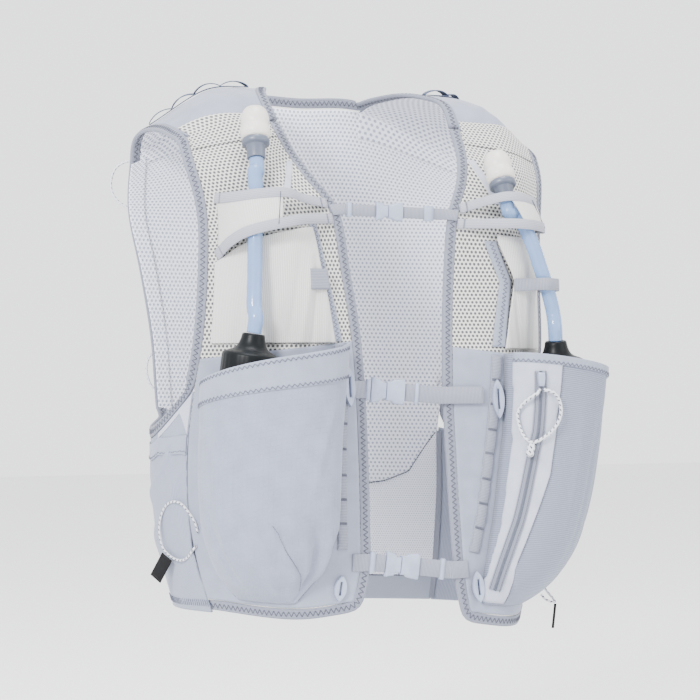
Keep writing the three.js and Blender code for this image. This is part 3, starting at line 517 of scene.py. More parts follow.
# The back's inner face is open spacer mesh down to a curved seam, then a finer mesh, then a plain band.
# Each row of the seam is a share across the back and a share down it.
SEAM_ARC = [
    (0.0, 0.672), (0.045, 0.700), (0.105, 0.738), (0.190, 0.752), (0.266, 0.757), (0.5, 0.758),
    (0.734, 0.757), (0.810, 0.752), (0.895, 0.738), (0.955, 0.700), (1.0, 0.672),
]
LUMBAR_TOP = 0.912


def back_look():
    """The mesh of the back: its zone attribute is nought above the seam, one below it and two on the band."""
    shade = Shade("back_mesh", (0.78, 0.79, 0.86), 0.9, Sheen_Weight=0.2)
    part = shade.node("ShaderNodeAttribute", attribute_name="zone").outputs["Fac"]
    large = shade.step(shade.lattice(4.2, 7.3), 0.80, 1.4)
    fine = shade.step(shade.lattice(2.4, 4.2), 0.28, 0.62)
    pattern = shade.node("ShaderNodeMix", data_type="FLOAT")
    shade.put(pattern.inputs[0], shade.step(part, 0.4, 0.6))
    shade.put(pattern.inputs[2], large)
    shade.put(pattern.inputs[3], fine)
    plain = shade.step(part, 1.4, 1.6)
    height = shade.math("MAXIMUM", pattern.outputs[0], plain)
    # The holes' darker colour is painted shade in the mesh's hollows; the plain band keeps its own colour.
    base = shade.tint(height, (0.33, 0.35, 0.44), (0.76, 0.775, 0.87))
    shade.color(shade.tint(plain, base, (0.255, 0.28, 0.35)))
    shade.bump(height, 0.8, 0.001)
    return shade.material


looks["back_mesh"] = back_look()


# Building meshes
def piece(name, vertices, faces, look, nodes=(), layout=None, extra=None, flat_angle=None):
    """Makes an object of the part from points in millimetres and hangs it on the frame."""
    mesh = bpy.data.meshes.new(name)
    mesh.from_pydata((np.asarray(vertices) * MM).tolist(), [], faces)
    mesh.update()
    if layout is not None:
        corner = np.empty(len(mesh.loops), np.int32)
        mesh.loops.foreach_get("vertex_index", corner)
        uv = mesh.uv_layers.new(name="layout")
        uv.data.foreach_set("uv", np.asarray(layout, np.float32)[corner].ravel())
    if extra is not None:
        attribute = mesh.attributes.new("zone", "FLOAT", "POINT")
        attribute.data.foreach_set("value", np.asarray(extra, np.float32))
    mesh.materials.append(looks[look])
    mesh.shade_smooth()
    made = bpy.data.objects.new(name, mesh)
    bpy.context.scene.collection.objects.link(made)
    if flat_angle:
        mark_sharp(mesh, flat_angle)
    settle(made, nodes)
    return made


def mark_sharp(mesh, angle):
    limit = math.cos(math.radians(angle))
    sides = {}
    for polygon in mesh.polygons:
        for key in polygon.edge_keys:
            sides.setdefault(key, []).append(polygon.normal.copy())
    for edge in mesh.edges:
        normals = sides.get(edge.key, [])
        if len(normals) == 2 and normals[0].dot(normals[1]) < limit:
            edge.use_edge_sharp = True


def settle(made, nodes):
    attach(made, "root")
    if nodes:
        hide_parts(*nodes)


def facing_out(vertices, faces):
    """The faces, turned round where they face into the solid."""
    points = np.asarray(vertices)
    volume = 0.0
    for face in faces:
        for k in range(1, len(face) - 1):
            a, b, c = points[face[0]], points[face[k]], points[face[k + 1]]
            volume += a @ np.cross(b, c)
    return faces if volume > 0 else [face[::-1] for face in faces]


def wall(name, inner, outer, look, slot, nodes=(), layout=None, extra=None):
    """A closed wall between two grids of points."""
    rows, columns = inner.shape[:2]
    count = rows * columns
    index = np.arange(count).reshape(rows, columns)
    a, b, c, d = index[:-1, :-1], index[:-1, 1:], index[1:, 1:], index[1:, :-1]
    quads = np.stack([a, b, c, d], axis=-1).reshape(-1, 4)
    faces = (quads + count).tolist() + quads[:, ::-1].tolist()
    rim = [*index[0, :], *index[1:, -1], *index[-1, -2::-1], *index[-2:0:-1, 0]]
    for k, here in enumerate(rim):
        after = rim[(k + 1) % len(rim)]
        faces.append([int(here), int(after), int(after + count), int(here + count)])
    vertices = np.concatenate([inner.reshape(-1, 3), outer.reshape(-1, 3)])
    way = outer - inner
    turn = np.cross(inner[0, 1] - inner[0, 0], inner[1, 0] - inner[0, 0]) @ way[0, 0]
    if turn < 0:
        faces = [face[::-1] for face in faces]
    if layout is not None:
        layout = np.concatenate([layout.reshape(-1, 2)] * 2)
    if extra is not None:
        extra = np.concatenate([extra[0].ravel(), extra[1].ravel()])
    return piece(name, vertices, faces, look, nodes, layout, extra)


def loft(name, sections, look, nodes=(), ring=False, flat_angle=None):
    """A closed solid through rows of closed sections, capped at its ends or joined as a ring."""
    sections = np.asarray(sections)
    rows, corners = sections.shape[:2]
    faces = []
    index = np.arange(rows * corners).reshape(rows, corners)
    for j in range(rows if ring else rows - 1):
        here, after = index[j], index[(j + 1) % rows]
        for k in range(corners):
            m = (k + 1) % corners
            faces.append([int(here[k]), int(here[m]), int(after[m]), int(after[k])])
    if not ring:
        faces.append(index[0][::-1].tolist())
        faces.append(index[-1].tolist())
    vertices = sections.reshape(-1, 3)
    around = run_of(np.vstack([sections[rows // 2], sections[rows // 2][:1]]))[:-1]
    along = run_of(sections.mean(axis=1))
    layout = np.stack(np.broadcast_arrays(around[None, :], along[:, None]), axis=-1)
    return piece(
        name, vertices, facing_out(vertices, faces), look, nodes, layout.reshape(-1, 2),
        flat_angle=flat_angle,
    )


def tape_sections(middles, wides, normals, width, thickness):
    """Sections of a tape with rounded edges. It stands on its middle line."""
    soft = 0.45 * thickness
    profile = [
        (-0.5 * width, soft), (-0.5 * width, thickness - soft), (-0.5 * width + soft, thickness),
        (0.0, thickness), (0.5 * width - soft, thickness), (0.5 * width, thickness - soft),
        (0.5 * width, soft), (0.5 * width - soft, 0.0), (0.0, 0.0), (-0.5 * width + soft, 0.0),
    ]
    return np.stack([middles + wides * x + normals * z for x, z in profile], axis=1)


def tube_frames(points):
    """Two crossways directions at each point of a line, carried along it without twist."""
    tangents = unit(np.gradient(points, axis=0))
    first = np.cross(tangents[0], (0.0, 0.0, 1.0))
    if np.linalg.norm(first) < 0.2:
        first = np.cross(tangents[0], (0.0, 1.0, 0.0))
    first = unit(first)
    ways = []
    for tangent in tangents:
        first = unit(first - tangent * (first @ tangent))
        ways.append((first, np.cross(tangent, first)))
    return ways


def tube_sections(points, radius, corners=12):
    turns = np.linspace(0, 2 * math.pi, corners, endpoint=False)
    radii = np.broadcast_to(radius, len(points))
    return np.array([
        [p + r * (math.cos(t) * a + math.sin(t) * b) for t in turns]
        for p, r, (a, b) in zip(points, radii, tube_frames(points))
    ])


def turned_sections(base, axis, profile, corners=40, ribs=None):
    """Rings round an axis from rows of radius and height. ribs(turns, height) scales the radius."""
    axis = unit(np.asarray(axis, float))
    a = unit(np.cross(axis, (0.3, -0.9, 0.1)))
    b = np.cross(axis, a)
    turns = np.linspace(0, 2 * math.pi, corners, endpoint=False)
    rings = []
    for radius, height in profile:
        radii = np.full(corners, float(radius)) if ribs is None else radius * ribs(turns, height)
        rings.append([
            base + axis * height + r * (math.cos(t) * a + math.sin(t) * b) for t, r in zip(turns, radii)
        ])
    return np.array(rings)


# Rows of small things along a line, such as stitches, bars, ribs and teeth
def repeats_tree():
    tree = bpy.data.node_groups.new("row_of_repeats", "GeometryNodeTree")
    sockets = tree.interface.new_socket
    sockets("Geometry", in_out="INPUT", socket_type="NodeSocketGeometry")
    for name in ("Pitch", "Turn", "Long", "Wide", "Thick", "Zigzag"):
        sockets(name, in_out="INPUT", socket_type="NodeSocketFloat")
    sockets("Material", in_out="INPUT", socket_type="NodeSocketMaterial")
    sockets("Geometry", in_out="OUTPUT", socket_type="NodeSocketGeometry")

    def node(kind, **settings):
        made = tree.nodes.new(kind)
        for key, value in settings.items():
            setattr(made, key, value)
        return made

    def link(a, b):
        tree.links.new(a, b)

    given = node("NodeGroupInput").outputs
    line = node("GeometryNodeMeshToCurve")
    link(given["Geometry"], line.inputs["Mesh"])
    spaced = node("GeometryNodeResampleCurve", mode="LENGTH")
    link(line.outputs[0], spaced.inputs["Curve"])
    link(given["Pitch"], spaced.inputs["Length"])

    def math_node(operation, a, b):
        made = node("ShaderNodeMath", operation=operation)
        for socket, value in zip(made.inputs, (a, b)):
            if isinstance(value, float):
                socket.default_value = value
            else:
                link(value, socket)
        return made.outputs[0]

    def scaled(vector, factor):
        made = node("ShaderNodeVectorMath", operation="SCALE")
        link(vector, made.inputs[0])
        link(factor, made.inputs["Scale"])
        return made.outputs[0]

    odd = math_node("MODULO", node("GeometryNodeInputIndex").outputs[0], 2.0)
    swing = math_node("SUBTRACT", math_node("MULTIPLY", odd, 2.0), 1.0)
    turned = math_node("MULTIPLY", given["Zigzag"], math_node("SUBTRACT", swing, 1.0))
    sign = math_node("ADD", turned, 1.0)
    tangent = node("GeometryNodeInputTangent").outputs[0]
    up = node("GeometryNodeInputNamedAttribute", data_type="FLOAT_VECTOR")
    up.inputs["Name"].default_value = "up"
    across = node("ShaderNodeVectorMath", operation="CROSS_PRODUCT")
    link(up.outputs[0], across.inputs[0])
    link(tangent, across.inputs[1])
    along_part = scaled(tangent, math_node("COSINE", given["Turn"], 0.0))
    sideways_share = math_node("MULTIPLY", math_node("SINE", given["Turn"], 0.0), sign)
    side_part = scaled(across.outputs[0], sideways_share)
    way = node("ShaderNodeVectorMath", operation="ADD")
    link(along_part, way.inputs[0])
    link(side_part, way.inputs[1])
    first = node("FunctionNodeAlignRotationToVector", axis="Z")
    link(way.outputs[0], first.inputs["Vector"])
    second = node("FunctionNodeAlignRotationToVector", axis="Y", pivot_axis="Z")
    link(first.outputs[0], second.inputs["Rotation"])
    link(up.outputs[0], second.inputs["Vector"])

    shape = node("GeometryNodeMeshCylinder")
    shape.inputs["Vertices"].default_value = 6
    shape.inputs["Radius"].default_value = 0.5
    shape.inputs["Depth"].default_value = 1.0
    size = node("ShaderNodeCombineXYZ")
    link(given["Wide"], size.inputs[0])
    link(given["Thick"], size.inputs[1])
    link(given["Long"], size.inputs[2])
    placed = node("GeometryNodeInstanceOnPoints")
    link(spaced.outputs[0], placed.inputs["Points"])
    link(shape.outputs[0], placed.inputs["Instance"])
    link(second.outputs[0], placed.inputs["Rotation"])
    link(size.outputs[0], placed.inputs["Scale"])
    real = node("GeometryNodeRealizeInstances")
    link(placed.outputs[0], real.inputs[0])
    painted = node("GeometryNodeSetMaterial")
    link(real.outputs[0], painted.inputs["Geometry"])
    link(given["Material"], painted.inputs["Material"])
    link(painted.outputs[0], node("NodeGroupOutput").inputs[0])
    return tree


REPEATS = repeats_tree()
REPEAT_INPUTS = {
    item.name: item.identifier for item in REPEATS.interface.items_tree
    if item.item_type == "SOCKET" and item.in_out == "INPUT"
}


# Kinds of rows: the pitch, and the bars' length, width and thickness, in millimetres, then their turn from
# the line in degrees, and one where every other bar is turned back as in a zigzag
REPEAT_KINDS = {
    "back_seam": (2.6, 2.2, 1.1, 0.6, 0, 0),
    "lumbar_seam": (2.6, 2.2, 1.0, 0.6, 0, 0),
    "pouch_hem": (3.0, 2.4, 0.6, 0.6, 35, 1),
    "binding_edge": (2.3, 4.8, 0.75, 0.75, 62, 1),
    "side_hem": (3.0, 2.4, 0.5, 0.5, 30, 1),
    "side_foot": (3.0, 6.0, 0.5, 0.5, 90, 0),
    "chest_band": (1.9, 4.2, 0.6, 0.6, 62, 1),
    "pocket_hem": (2.3, 3.4, 0.7, 0.7, 50, 1),
    "pocket_edge": (2.6, 2.0, 0.6, 0.6, 0, 0),
    "panel_seam": (2.4, 2.0, 0.7, 0.7, 0, 0),
    "tape_end": (0.9, 1.6, 0.5, 0.5, 90, 0),
    "tape_joint": (1.2, 1.1, 0.7, 0.7, 0, 0),
    "daisy_bar": (0.9, 2.2, 0.6, 0.6, 90, 0),
    "zip_tape": (2.2, 1.7, 0.4, 0.4, 0, 0),
    "zip_teeth": (1.1, 2.6, 0.8, 0.9, 90, 0),
}


def repeats(name, points, ups, look, kind):
    """A row of small bars, such as stitches, along a line of points. The ups are the ways that they face."""
    pitch, long, wide, thick, turn, zigzag = REPEAT_KINDS[kind]
    mesh = bpy.data.meshes.new(name)
    line = np.asarray(points) * MM
    mesh.from_pydata(line.tolist(), [(k, k + 1) for k in range(len(line) - 1)], [])
    attribute = mesh.attributes.new("up", "FLOAT_VECTOR", "POINT")
    attribute.data.foreach_set("vector", np.asarray(unit(np.asarray(ups)), np.float32).ravel())
    made = bpy.data.objects.new(name, mesh)
    bpy.context.scene.collection.objects.link(made)
    modifier = made.modifiers.new("repeats", "NODES")
    modifier.node_group = REPEATS
    values = {
        "Pitch": pitch * MM, "Turn": math.radians(turn), "Long": long * MM, "Wide": wide * MM,
        "Thick": thick * MM, "Zigzag": float(zigzag), "Material": looks[look],
    }
    for key, value in values.items():
        modifier[REPEAT_INPUTS[key]] = value
    evaluated = made.evaluated_get(bpy.context.evaluated_depsgraph_get())
    made.data = bpy.data.meshes.new_from_object(evaluated)
    made.modifiers.clear()
    made.data.shade_smooth()
    settle(made, ())
    return made


def folds(u, v, rows):
    """Height of soft ridges, each along a straight line in millimetres of the layout."""
    height = np.zeros(np.broadcast(u, v).shape)
    for u0, v0, u1, v1, spread, rise in rows:
        du, dv = u1 - u0, v1 - v0
        along = np.clip(((u - u0) * du + (v - v0) * dv) / (du * du + dv * dv), 0, 1)
        away = np.hypot(u - u0 - along * du, v - v0 - along * dv)
        fade = np.sqrt(np.clip(np.sin(math.pi * np.clip(along, 0.03, 0.97)), 0, 1))
        height += rise * fade * np.exp(-(away / spread) ** 2)
    return height


def cloth_grid(cloth, top, bottom, left, right, rows, columns):
    """Shares and layout over a patch of a cloth. The limits are numbers or functions."""
    v = np.linspace(0, 1, rows)[:, None]
    u = np.linspace(0, 1, columns)[None, :]
    value = lambda limit, at: limit(at) if callable(limit) else limit
    down = mix(value(top, u), value(bottom, u), v)
    share = mix(value(left, down), value(right, down), u)
    down, share = np.broadcast_arrays(down, share)
    run = np.interp(down, cloth.downs, cloth.run)
    layout = np.stack([(share - 0.5) * cloth.width(down), run], axis=-1)
    return share, down, layout


def patch(name, cloth, limits, size, thickness, look, slot, nodes=(), lift=0.0, relief=None):
    """A wall over a patch of a cloth. Its lift is a number or lift(share, down); relief(u, v) folds it."""
    share, down, layout = cloth_grid(cloth, *limits, *size)
    height = lift(share, down) if callable(lift) else np.full(share.shape, float(lift))
    if relief is not None:
        height = height + relief(layout[..., 0], layout[..., 1])
    inner, normal = cloth.at(share, down, height)
    across = np.gradient(inner, axis=1)
    downwards = np.gradient(inner, axis=0)
    way = unit(np.cross(across, downwards))
    way *= np.sign(np.sum(way * normal, axis=-1, keepdims=True))
    return wall(name, inner, inner + way * thickness, look, slot, nodes, layout)


def back_pieces():
    """The back panel, with stitches along the curved seam and the top of the plain band."""
    share, down, layout = cloth_grid(back, 0.003, 1.0, 0.0, 1.0, 150, 130)
    arc_share, arc_down = zip(*SEAM_ARC)
    below_arc = down - np.interp(share, arc_share, arc_down)
    zone = smooth(below_arc, -0.002, 0.002) + smooth(down, LUMBAR_TOP - 0.002, LUMBAR_TOP + 0.002)
    wave = 0.5 * np.sin(layout[..., 0] / 17.0) * np.sin(layout[..., 1] / 29.0)
    inner_face = back.at(share, down, wave - 0.5)[0]
    outer_face = back.at(share, down, PANEL)[0]
    wall(
        "back_panel_look", inner_face, outer_face, "back_mesh", "mesh", ["back_panel"], layout,
        extra=(zone, np.full(share.shape, 2.0)),
    )
    across = np.linspace(0.01, 0.99, 120)
    seams = {"back_seam": np.interp(across, arc_share, arc_down), "lumbar_seam": LUMBAR_TOP}
    for kind, seam_down in seams.items():
        points, normals = back.at(across, seam_down, -1.0)
        repeats(f"{kind}_stitches", points, -normals, "thread", kind)


back_pieces()

# The rear pouch, over the outside of the back
POUCH_DEPTH = 30
POUCH_HALF = 112
POUCH_TOP = 0.16
POUCH_FOOT = 0.96
POUCH_CLOTH = 1.4
POUCH_HEM_RUN = 0.015


def pouch_margin(down):
    half = POUCH_HALF * mix(1, 0.9, smooth(down, 0.5, 1))
    return 0.5 - half / back.width(down)


def pouch_lift(share, down):
    margin = pouch_margin(down)
    u = part_of(share, margin, 1 - margin)
    v = part_of(down, POUCH_TOP, POUCH_FOOT)
    bulge = np.sin(math.pi * u) ** 0.6 * (1 - mix(0.35, 1, v) ** 7) * mix(0.7, 1, v)
    return PANEL + 0.5 + POUCH_DEPTH * bulge


# Rows of folds: start and end in millimetres of the layout, spread, and rise
POUCH_FOLDS = [
    (-60, 120, -30, 330, 9, -2.0), (50, 140, 70, 320, 10, -1.8), (-10, 200, 5, 380, 12, -1.5),
    (-90, 300, -40, 400, 8, 1.4), (88, 300, 35, 405, 8, 1.4),
]
patch(
    "rear_pouch_look", back,
    (POUCH_TOP, POUCH_FOOT, pouch_margin, lambda d: 1 - pouch_margin(d)), (90, 90), POUCH_CLOTH,
    "ripstop", "cloth", ["rear_pouch"], lift=pouch_lift, relief=lambda u, v: folds(u, v, POUCH_FOLDS),
)
hem_down = POUCH_TOP + POUCH_HEM_RUN
hem_margin = pouch_margin(0.17)
hem_shares = mix(hem_margin, 1 - hem_margin, np.linspace(0.0, 1.0, 90))
hem_points, hem_ups = back.at(hem_shares, hem_down, pouch_lift(hem_shares, hem_down) + POUCH_CLOTH + 0.2)
repeats("pouch_hem_stitches", hem_points, hem_ups, "thread", "pouch_hem")


# On the right the back's mesh is turned over the armhole's edge
patch(
    "back_facing_right", back, (0.03, 0.63, -0.029, 0.02), (90, 10), 0.5, "back_mesh", "mesh", lift=-1.9,
)


# Edge bindings, folded over the cloth's edge, with a zigzag row of stitches
BINDING_DEPTH = 3.2
BINDING_DROP = 0.5
BINDING_STEP = 5.0
# Across the width and through the depth, as shares of each
BINDING_PROFILE = [
    (-0.60, 0.06), (-0.60, 0.94), (-0.52, 1.04), (-0.15, 1.02), (0.30, 1.05), (0.46, 0.90),
    (0.50, 0.50), (0.46, 0.10), (0.30, -0.05), (-0.15, -0.02), (-0.52, -0.04),
]


def binding(name, lines, nodes, ring=False):
    """One binding along joined edge lines, smoothed along its run, with stitches on both faces."""
    edge = np.vstack([line[0] for line in lines])
    away = unit(np.vstack([line[1] for line in lines]))
    normal = np.vstack([line[2] for line in lines])
    gap = np.concatenate([np.full(len(line[0]), line[3]) for line in lines])
    middle = edge + away * (gap + EDGE_WIDTH / 2)[:, None]
    if ring:
        closed = lambda rows: np.vstack([rows, rows[:1]])
        middle, away, normal = closed(middle), closed(away), closed(normal)
    run = run_of(middle)
    wanted = np.linspace(0, run[-1], int(run[-1] / BINDING_STEP))
    line = through_run(middle, run, wanted)
    wide = unit(through_run(away, run, wanted))
    up = unit(through_run(normal, run, wanted))
    sections = np.stack([
        line + wide * (x * EDGE_WIDTH) + up * (z * BINDING_DEPTH - BINDING_DROP)
        for x, z in BINDING_PROFILE
    ], axis=1)
    if ring:
        sections = sections[:-1]
    loft(name + "_look", sections, "binding", nodes, ring=ring)
    for face, sign, lift in (("outer", 1, 2.85), ("inner", -1, -0.62)):
        stitched = line + up * lift - wide * 0.6
        repeats(f"{name}_zigzag_{face}", stitched, up * sign, "thread", "binding_edge")


def through_run(rows, run, wanted):
    """Rows of vectors read at places along the run, rounded off a little."""
    read = np.stack([np.interp(wanted, run, rows[:, k]) for k in range(3)], axis=1)
    for _ in range(2):
        read[1:-1] = 0.25 * read[:-2] + 0.5 * read[1:-1] + 0.25 * read[2:]
    return read


# Edge lines for a binding: points, ways out over the edge, normals and the gap
def side_edge(cloth, share, start, end, count):
    """The edge of a cloth at share nought or one."""
    downs = np.linspace(start, end, count)
    point, normal = cloth.at(share, downs)
    away = (2 * share - 1) * cloth.tangent(np.full(count, float(share)), downs)
    return point, away, normal, EDGE_GAP


def top_edge(cloth, start, end, count, gap=EDGE_GAP):
    shares = np.linspace(start, end, count)
    point, normal = cloth.at(shares, 0.0)
    return point, -cloth.drop(shares, np.zeros(count)), normal, gap


def bottom_edge(cloth, start, end, count, down):
    shares = np.linspace(start, end, count)
    point, normal = cloth.at(shares, down)
    return point, cloth.drop(shares, np.full(count, down)), normal, EDGE_GAP


NECK_HALF = 0.36 * 0.94
binding("neck_binding", [
    side_edge(yokes["right"], 0, 0.01, 0.94, 24),
    top_edge(back, 0.5 - NECK_HALF / 2, 0.5 + NECK_HALF / 2, 24),
    side_edge(yokes["left"], 0, 0.94, 0.01, 24),
], ["neck_binding"])

# Rows of folds, as the pouch has them
YOKE_FOLDS = [
    (-30, 10, 10, 60, 4, 1.2), (-10, 5, 30, 70, 4, 1.0), (10, 0, 20, 80, 3.5, 0.9),
    (-35, 60, -20, 120, 5, 0.8), (5, 70, 15, 130, 6, -0.9),
]
FRONT_HEM = {"right": 0.970, "left": 0.980}
net_top = lambda u: 0.05 + 0.32 * np.maximum(0, u - 0.25) ** 2
# Share down at the tape's start and end, and share across at its end
DIAGONAL_TAPE = {"right": (0.135, 0.257, 0.30), "left": (0.10, 0.257, 0.29)}
PANEL_CLOTH = 2.0
ON_PANEL = 2.05
OVERLAY = 0.6
SIDE_FOLDS = [
    (-60, 22, 30, 60, 6, 1.6), (-70, 50, 10, 95, 7, 1.5), (-40, 20, -70, 120, 5, 1.2),
    (-20, 75, 60, 120, 7, 1.4), (-75, 95, -30, 140, 6, 1.5), (10, 20, 60, 70, 7, 1.0),
]


def column(start, end, count):
    return np.linspace(start, end, count)[:, None]


def over_seam(name, parts, across_mm, look, slot, down_way=1, lining=False):
    """A thin wall that runs over a seam. Each part is a cloth, its shares, its downs and the lift."""
    read = [cloth.at(*place) for cloth, *place in parts]
    rows, ways = (np.concatenate(grids) for grids in zip(*read))
    run = down_way * run_of(rows[:, rows.shape[1] // 2])[:, None]
    layout = np.stack(np.broadcast_arrays(across_mm, run), axis=-1)
    faces = (rows - ways * OVERLAY, rows) if lining else (rows, rows + ways * OVERLAY)
    wall(name, *faces, look, slot, (), layout)


def shoulder_pieces(name, side):
    """The yoke and the front panel, with the front's net and the yoke's lining run over their seams."""
    front, yoke = fronts[name], yokes[name]
    patch(
        f"shoulder_yoke_{name}_look", yoke, (0.0, 0.988, 0.0, 1.0), (70, 60), PANEL_CLOTH, "cloth",
        "cloth", [f"shoulder_yoke_{name}"], relief=lambda u, v: 0.6 * folds(u, v, YOKE_FOLDS),
    )
    patch(
        f"front_panel_{name}_look", front, (0.006, FRONT_HEM[name], 0.0, 1.0), (150, 60), PANEL_CLOTH,
        "front_net", "mesh", [f"front_panel_{name}"],
        relief=lambda u, v: 0.35 * np.sin(u / 9.0) * np.sin(v / 31.0),
    )
    across = np.linspace(0.02, 0.98, 60)[None, :]
    over_seam(f"front_net_top_{name}", [
        (front, across, column(0.05, 0.0, 8), 2.15),
        (yoke, across, mix(0.008, net_top(across), column(0, 1, 16)), 2.15),
    ], (across - 0.5) * front.width(0.02), "front_net", "mesh", down_way=-1)
    across = np.linspace(0.01, 0.99, 60)[None, :]
    on_back = mix(0.5 + side * NECK_HALF / 2, 0.5 + side * 0.5, across)
    over_seam(f"yoke_lining_{name}", [
        (yoke, across, column(0.35, 0.985, 24), -0.4), (back, on_back, column(0.004, 0.05, 8), -0.9),
    ], across * 80, "back_mesh", "mesh", lining=True)
    over_seam(f"yoke_back_seam_{name}", [
        (yoke, across, column(0.96, 0.985, 4), 2.1), (back, on_back, column(0.004, 0.03, 4), 2.3),
    ], across * 80, "cloth", "cloth")


def front_trims(name):
    """The cloth over the lower front, and the tape that slants over its net."""
    front = fronts[name]
    patch(
        f"front_cloth_{name}", front,
        (lambda u: 0.512 + 0.03 * u, FRONT_HEM[name] - 0.002, 0.002, 0.998), (90, 60), 0.55,
        "cloth", "cloth", lift=ON_PANEL,
        relief=lambda u, v: (
            0.35 * np.exp(-((u + 62) / 12) ** 2) * (1 + np.sin(v / 3.1 + 1.5 * np.sin(v / 17)))
        ),
    )
    start, end, reach = DIAGONAL_TAPE[name]
    inner = lambda d: mix(0.0, reach, (d - start) / (end - start))
    patch(
        f"front_diagonal_tape_{name}", front, (start, end, inner, lambda d: inner(d) + 0.075), (30, 8), 0.7,
        "white_cloth", "cloth", lift=ON_PANEL,
    )


def side_seams(name):
    for place, limits in (("rear", (0.965, 1.02)), ("fore", (-0.02, 0.035))):
        patch(
            f"side_seam_{place}_{name}", flanks[name], (0.02, 0.99, *limits), (50, 6), 0.7, "binding",
            "binding", lift=-1.3,
        )


def side_pocket_pieces(name):
    """The ribbed side pocket under the armhole, its pale gore, its hem and its stitches."""
    flank = flanks[name]
    edge = 1.0 / flank.width(0.5)
    patch(
        f"side_pocket_{name}_look", flank, (0.0, 1.0, edge, 1 - edge), (80, 90), PANEL_CLOTH,
        "side_cloth", "cloth", [f"side_pocket_{name}"],
        relief=lambda u, v: 1.3 * folds(u, v, SIDE_FOLDS),
    )
    hem_line = lambda u: 0.03 + 0.5 * np.maximum(0, 0.34 - u)
    patch(
        f"side_gore_{name}", flank, (0.004, hem_line, 0.01, 0.36), (16, 24), 0.5, "white_cloth", "cloth",
        lift=ON_PANEL,
    )
    patch(
        f"side_pocket_hem_{name}", flank, (hem_line, lambda u: hem_line(u) + 0.085, edge, 1 - edge),
        (10, 70), 0.8, "cloth", "cloth", lift=2.4,
    )
    across = np.linspace(0.01, 0.99, 80)
    line, up = flank.at(across, hem_line(across) + 0.075, 3.6)
    repeats(f"side_pocket_upper_stitches_{name}", line, up, "seam_thread", "side_hem")
    line, up = flank.at(across, 0.945, 2.6)
    repeats(f"side_pocket_lower_stitches_{name}", line, up, "seam_thread", "side_foot")


def edge_bindings(name, side):
    """The binding down the front edge and along the hem, and the ring round the armhole."""
    front, yoke, hem = fronts[name], yokes[name], FRONT_HEM[name]
    corner_away = 0.75 * (-front.tangent(0.0, hem) + front.drop(0.0, hem))
    corner_point, corner_normal = front.at(0.0, hem)
    corner = (corner_point[None, :], corner_away[None, :], corner_normal[None, :], EDGE_GAP)
    binding(f"front_binding_{name}", [
        side_edge(front, 0, 0.004, hem - 0.03, 60), corner, bottom_edge(front, 0.12, 0.98, 20, hem),
    ], [f"front_binding_{name}"])
    back_share = 0 if side < 0 else 1
    binding(f"armhole_binding_{name}", [
        side_edge(front, 1, 0.02, 0.57, 40), top_edge(flanks[name], 0.08, 0.93, 24, 2 * EDGE_GAP),
        side_edge(back, back_share, BACK_ARMHOLE - 0.04, 0.04, 40), side_edge(yoke, 1, 0.94, 0.06, 24),
    ], [f"armhole_binding_{name}"], ring=True)


for name, side in SIDES.items():
    shoulder_pieces(name, side)
    side_seams(name)
    front_trims(name)
    side_pocket_pieces(name)
    edge_bindings(name, side)


# Stretch pockets under the tubes, gathered and hemmed
# Rows of folds, as the pouch has them
CHEST_FOLDS = {
    "right": [
        (-34, 136, -26, 235, 2.6, -1.7), (-27, 134, -15, 235, 3.0, 1.6), (-18, 132, -4, 235, 2.8, -1.3),
        (-42, 150, -40, 230, 3.4, 1.2), (-8, 132, 8, 235, 4.0, 1.0), (12, 150, 26, 235, 6.0, 1.0),
        (30, 165, 38, 235, 5.0, -1.0),
    ],
    "left": [
        (-10, 150, 2, 225, 3.0, -1.6), (0, 140, 12, 225, 3.2, 1.5), (12, 135, 22, 225, 3.0, -1.3),
        (26, 135, 34, 225, 4.0, 1.1), (-18, 165, -14, 225, 3.4, 1.2),
    ],
}
# The pocket's inner edge and top: share across by share down, and share down by share across
CHEST_INNER = {
    "right": ([0.316, 0.468, 0.515], [0.225, 0.152, 0.13]),
    "left": ([0.343, 0.409, 0.518], [0.316, 0.43, 0.36]),
}
CHEST_TOP = {
    "right": ([0.0, 0.25, 0.45, 0.60, 0.74, 0.93], [0.331, 0.334, 0.341, 0.348, 0.360, 0.385]),
    "left": ([0.0, 0.20, 0.42, 0.56, 0.75, 0.93], [0.330, 0.334, 0.334, 0.329, 0.318, 0.307]),
}
BAND_SHARE = {"right": 0.055, "left": 0.09}
CHEST_FROM, CHEST_TO = 0.13, 0.94
CHEST_HIGH, CHEST_FOOT = 0.33, 0.515
CHEST_FULLNESS = 6


def chest_lift(share, down):
    u = part_of(share, CHEST_FROM, CHEST_TO)
    v = part_of(down, CHEST_HIGH, CHEST_FOOT)
    return PANEL + 0.9 + CHEST_FULLNESS * np.sin(math.pi * u) * np.sin(math.pi * mix(0.3, 1, v)) ** 2


def chest_pocket(name):
    """A gathered stretch pocket and the tape down its inner edge."""
    front, band = fronts[name], BAND_SHARE[name]
    inner_limit = lambda d: np.interp(d, *CHEST_INNER[name])
    top_limit = lambda u: np.interp(mix(CHEST_FROM, CHEST_TO, u), *CHEST_TOP[name])
    patch(
        f"chest_pocket_{name}_look", front, (top_limit, CHEST_FOOT, inner_limit, CHEST_TO), (80, 100), 1.3,
        "stretch", "stretch", [f"chest_pocket_{name}"], lift=chest_lift,
        relief=lambda u, v: folds(u, v, CHEST_FOLDS[name]),
    )
    band_top = CHEST_INNER[name][0][0]
    patch(
        f"chest_band_{name}", front,
        (band_top, 0.512, lambda d: inner_limit(d) - band, lambda d: inner_limit(d) + 0.004),
        (40, 8), 1.0, "cloth", "cloth", lift=2.5,
    )
    downs = np.linspace(band_top + 0.004, 0.508, 60)
    line, up = front.at(inner_limit(downs) - band / 2, downs, 3.6)
    repeats(f"chest_band_stitches_{name}", line, up, "seam_thread", "chest_band")


for name in SIDES:
    chest_pocket(name)

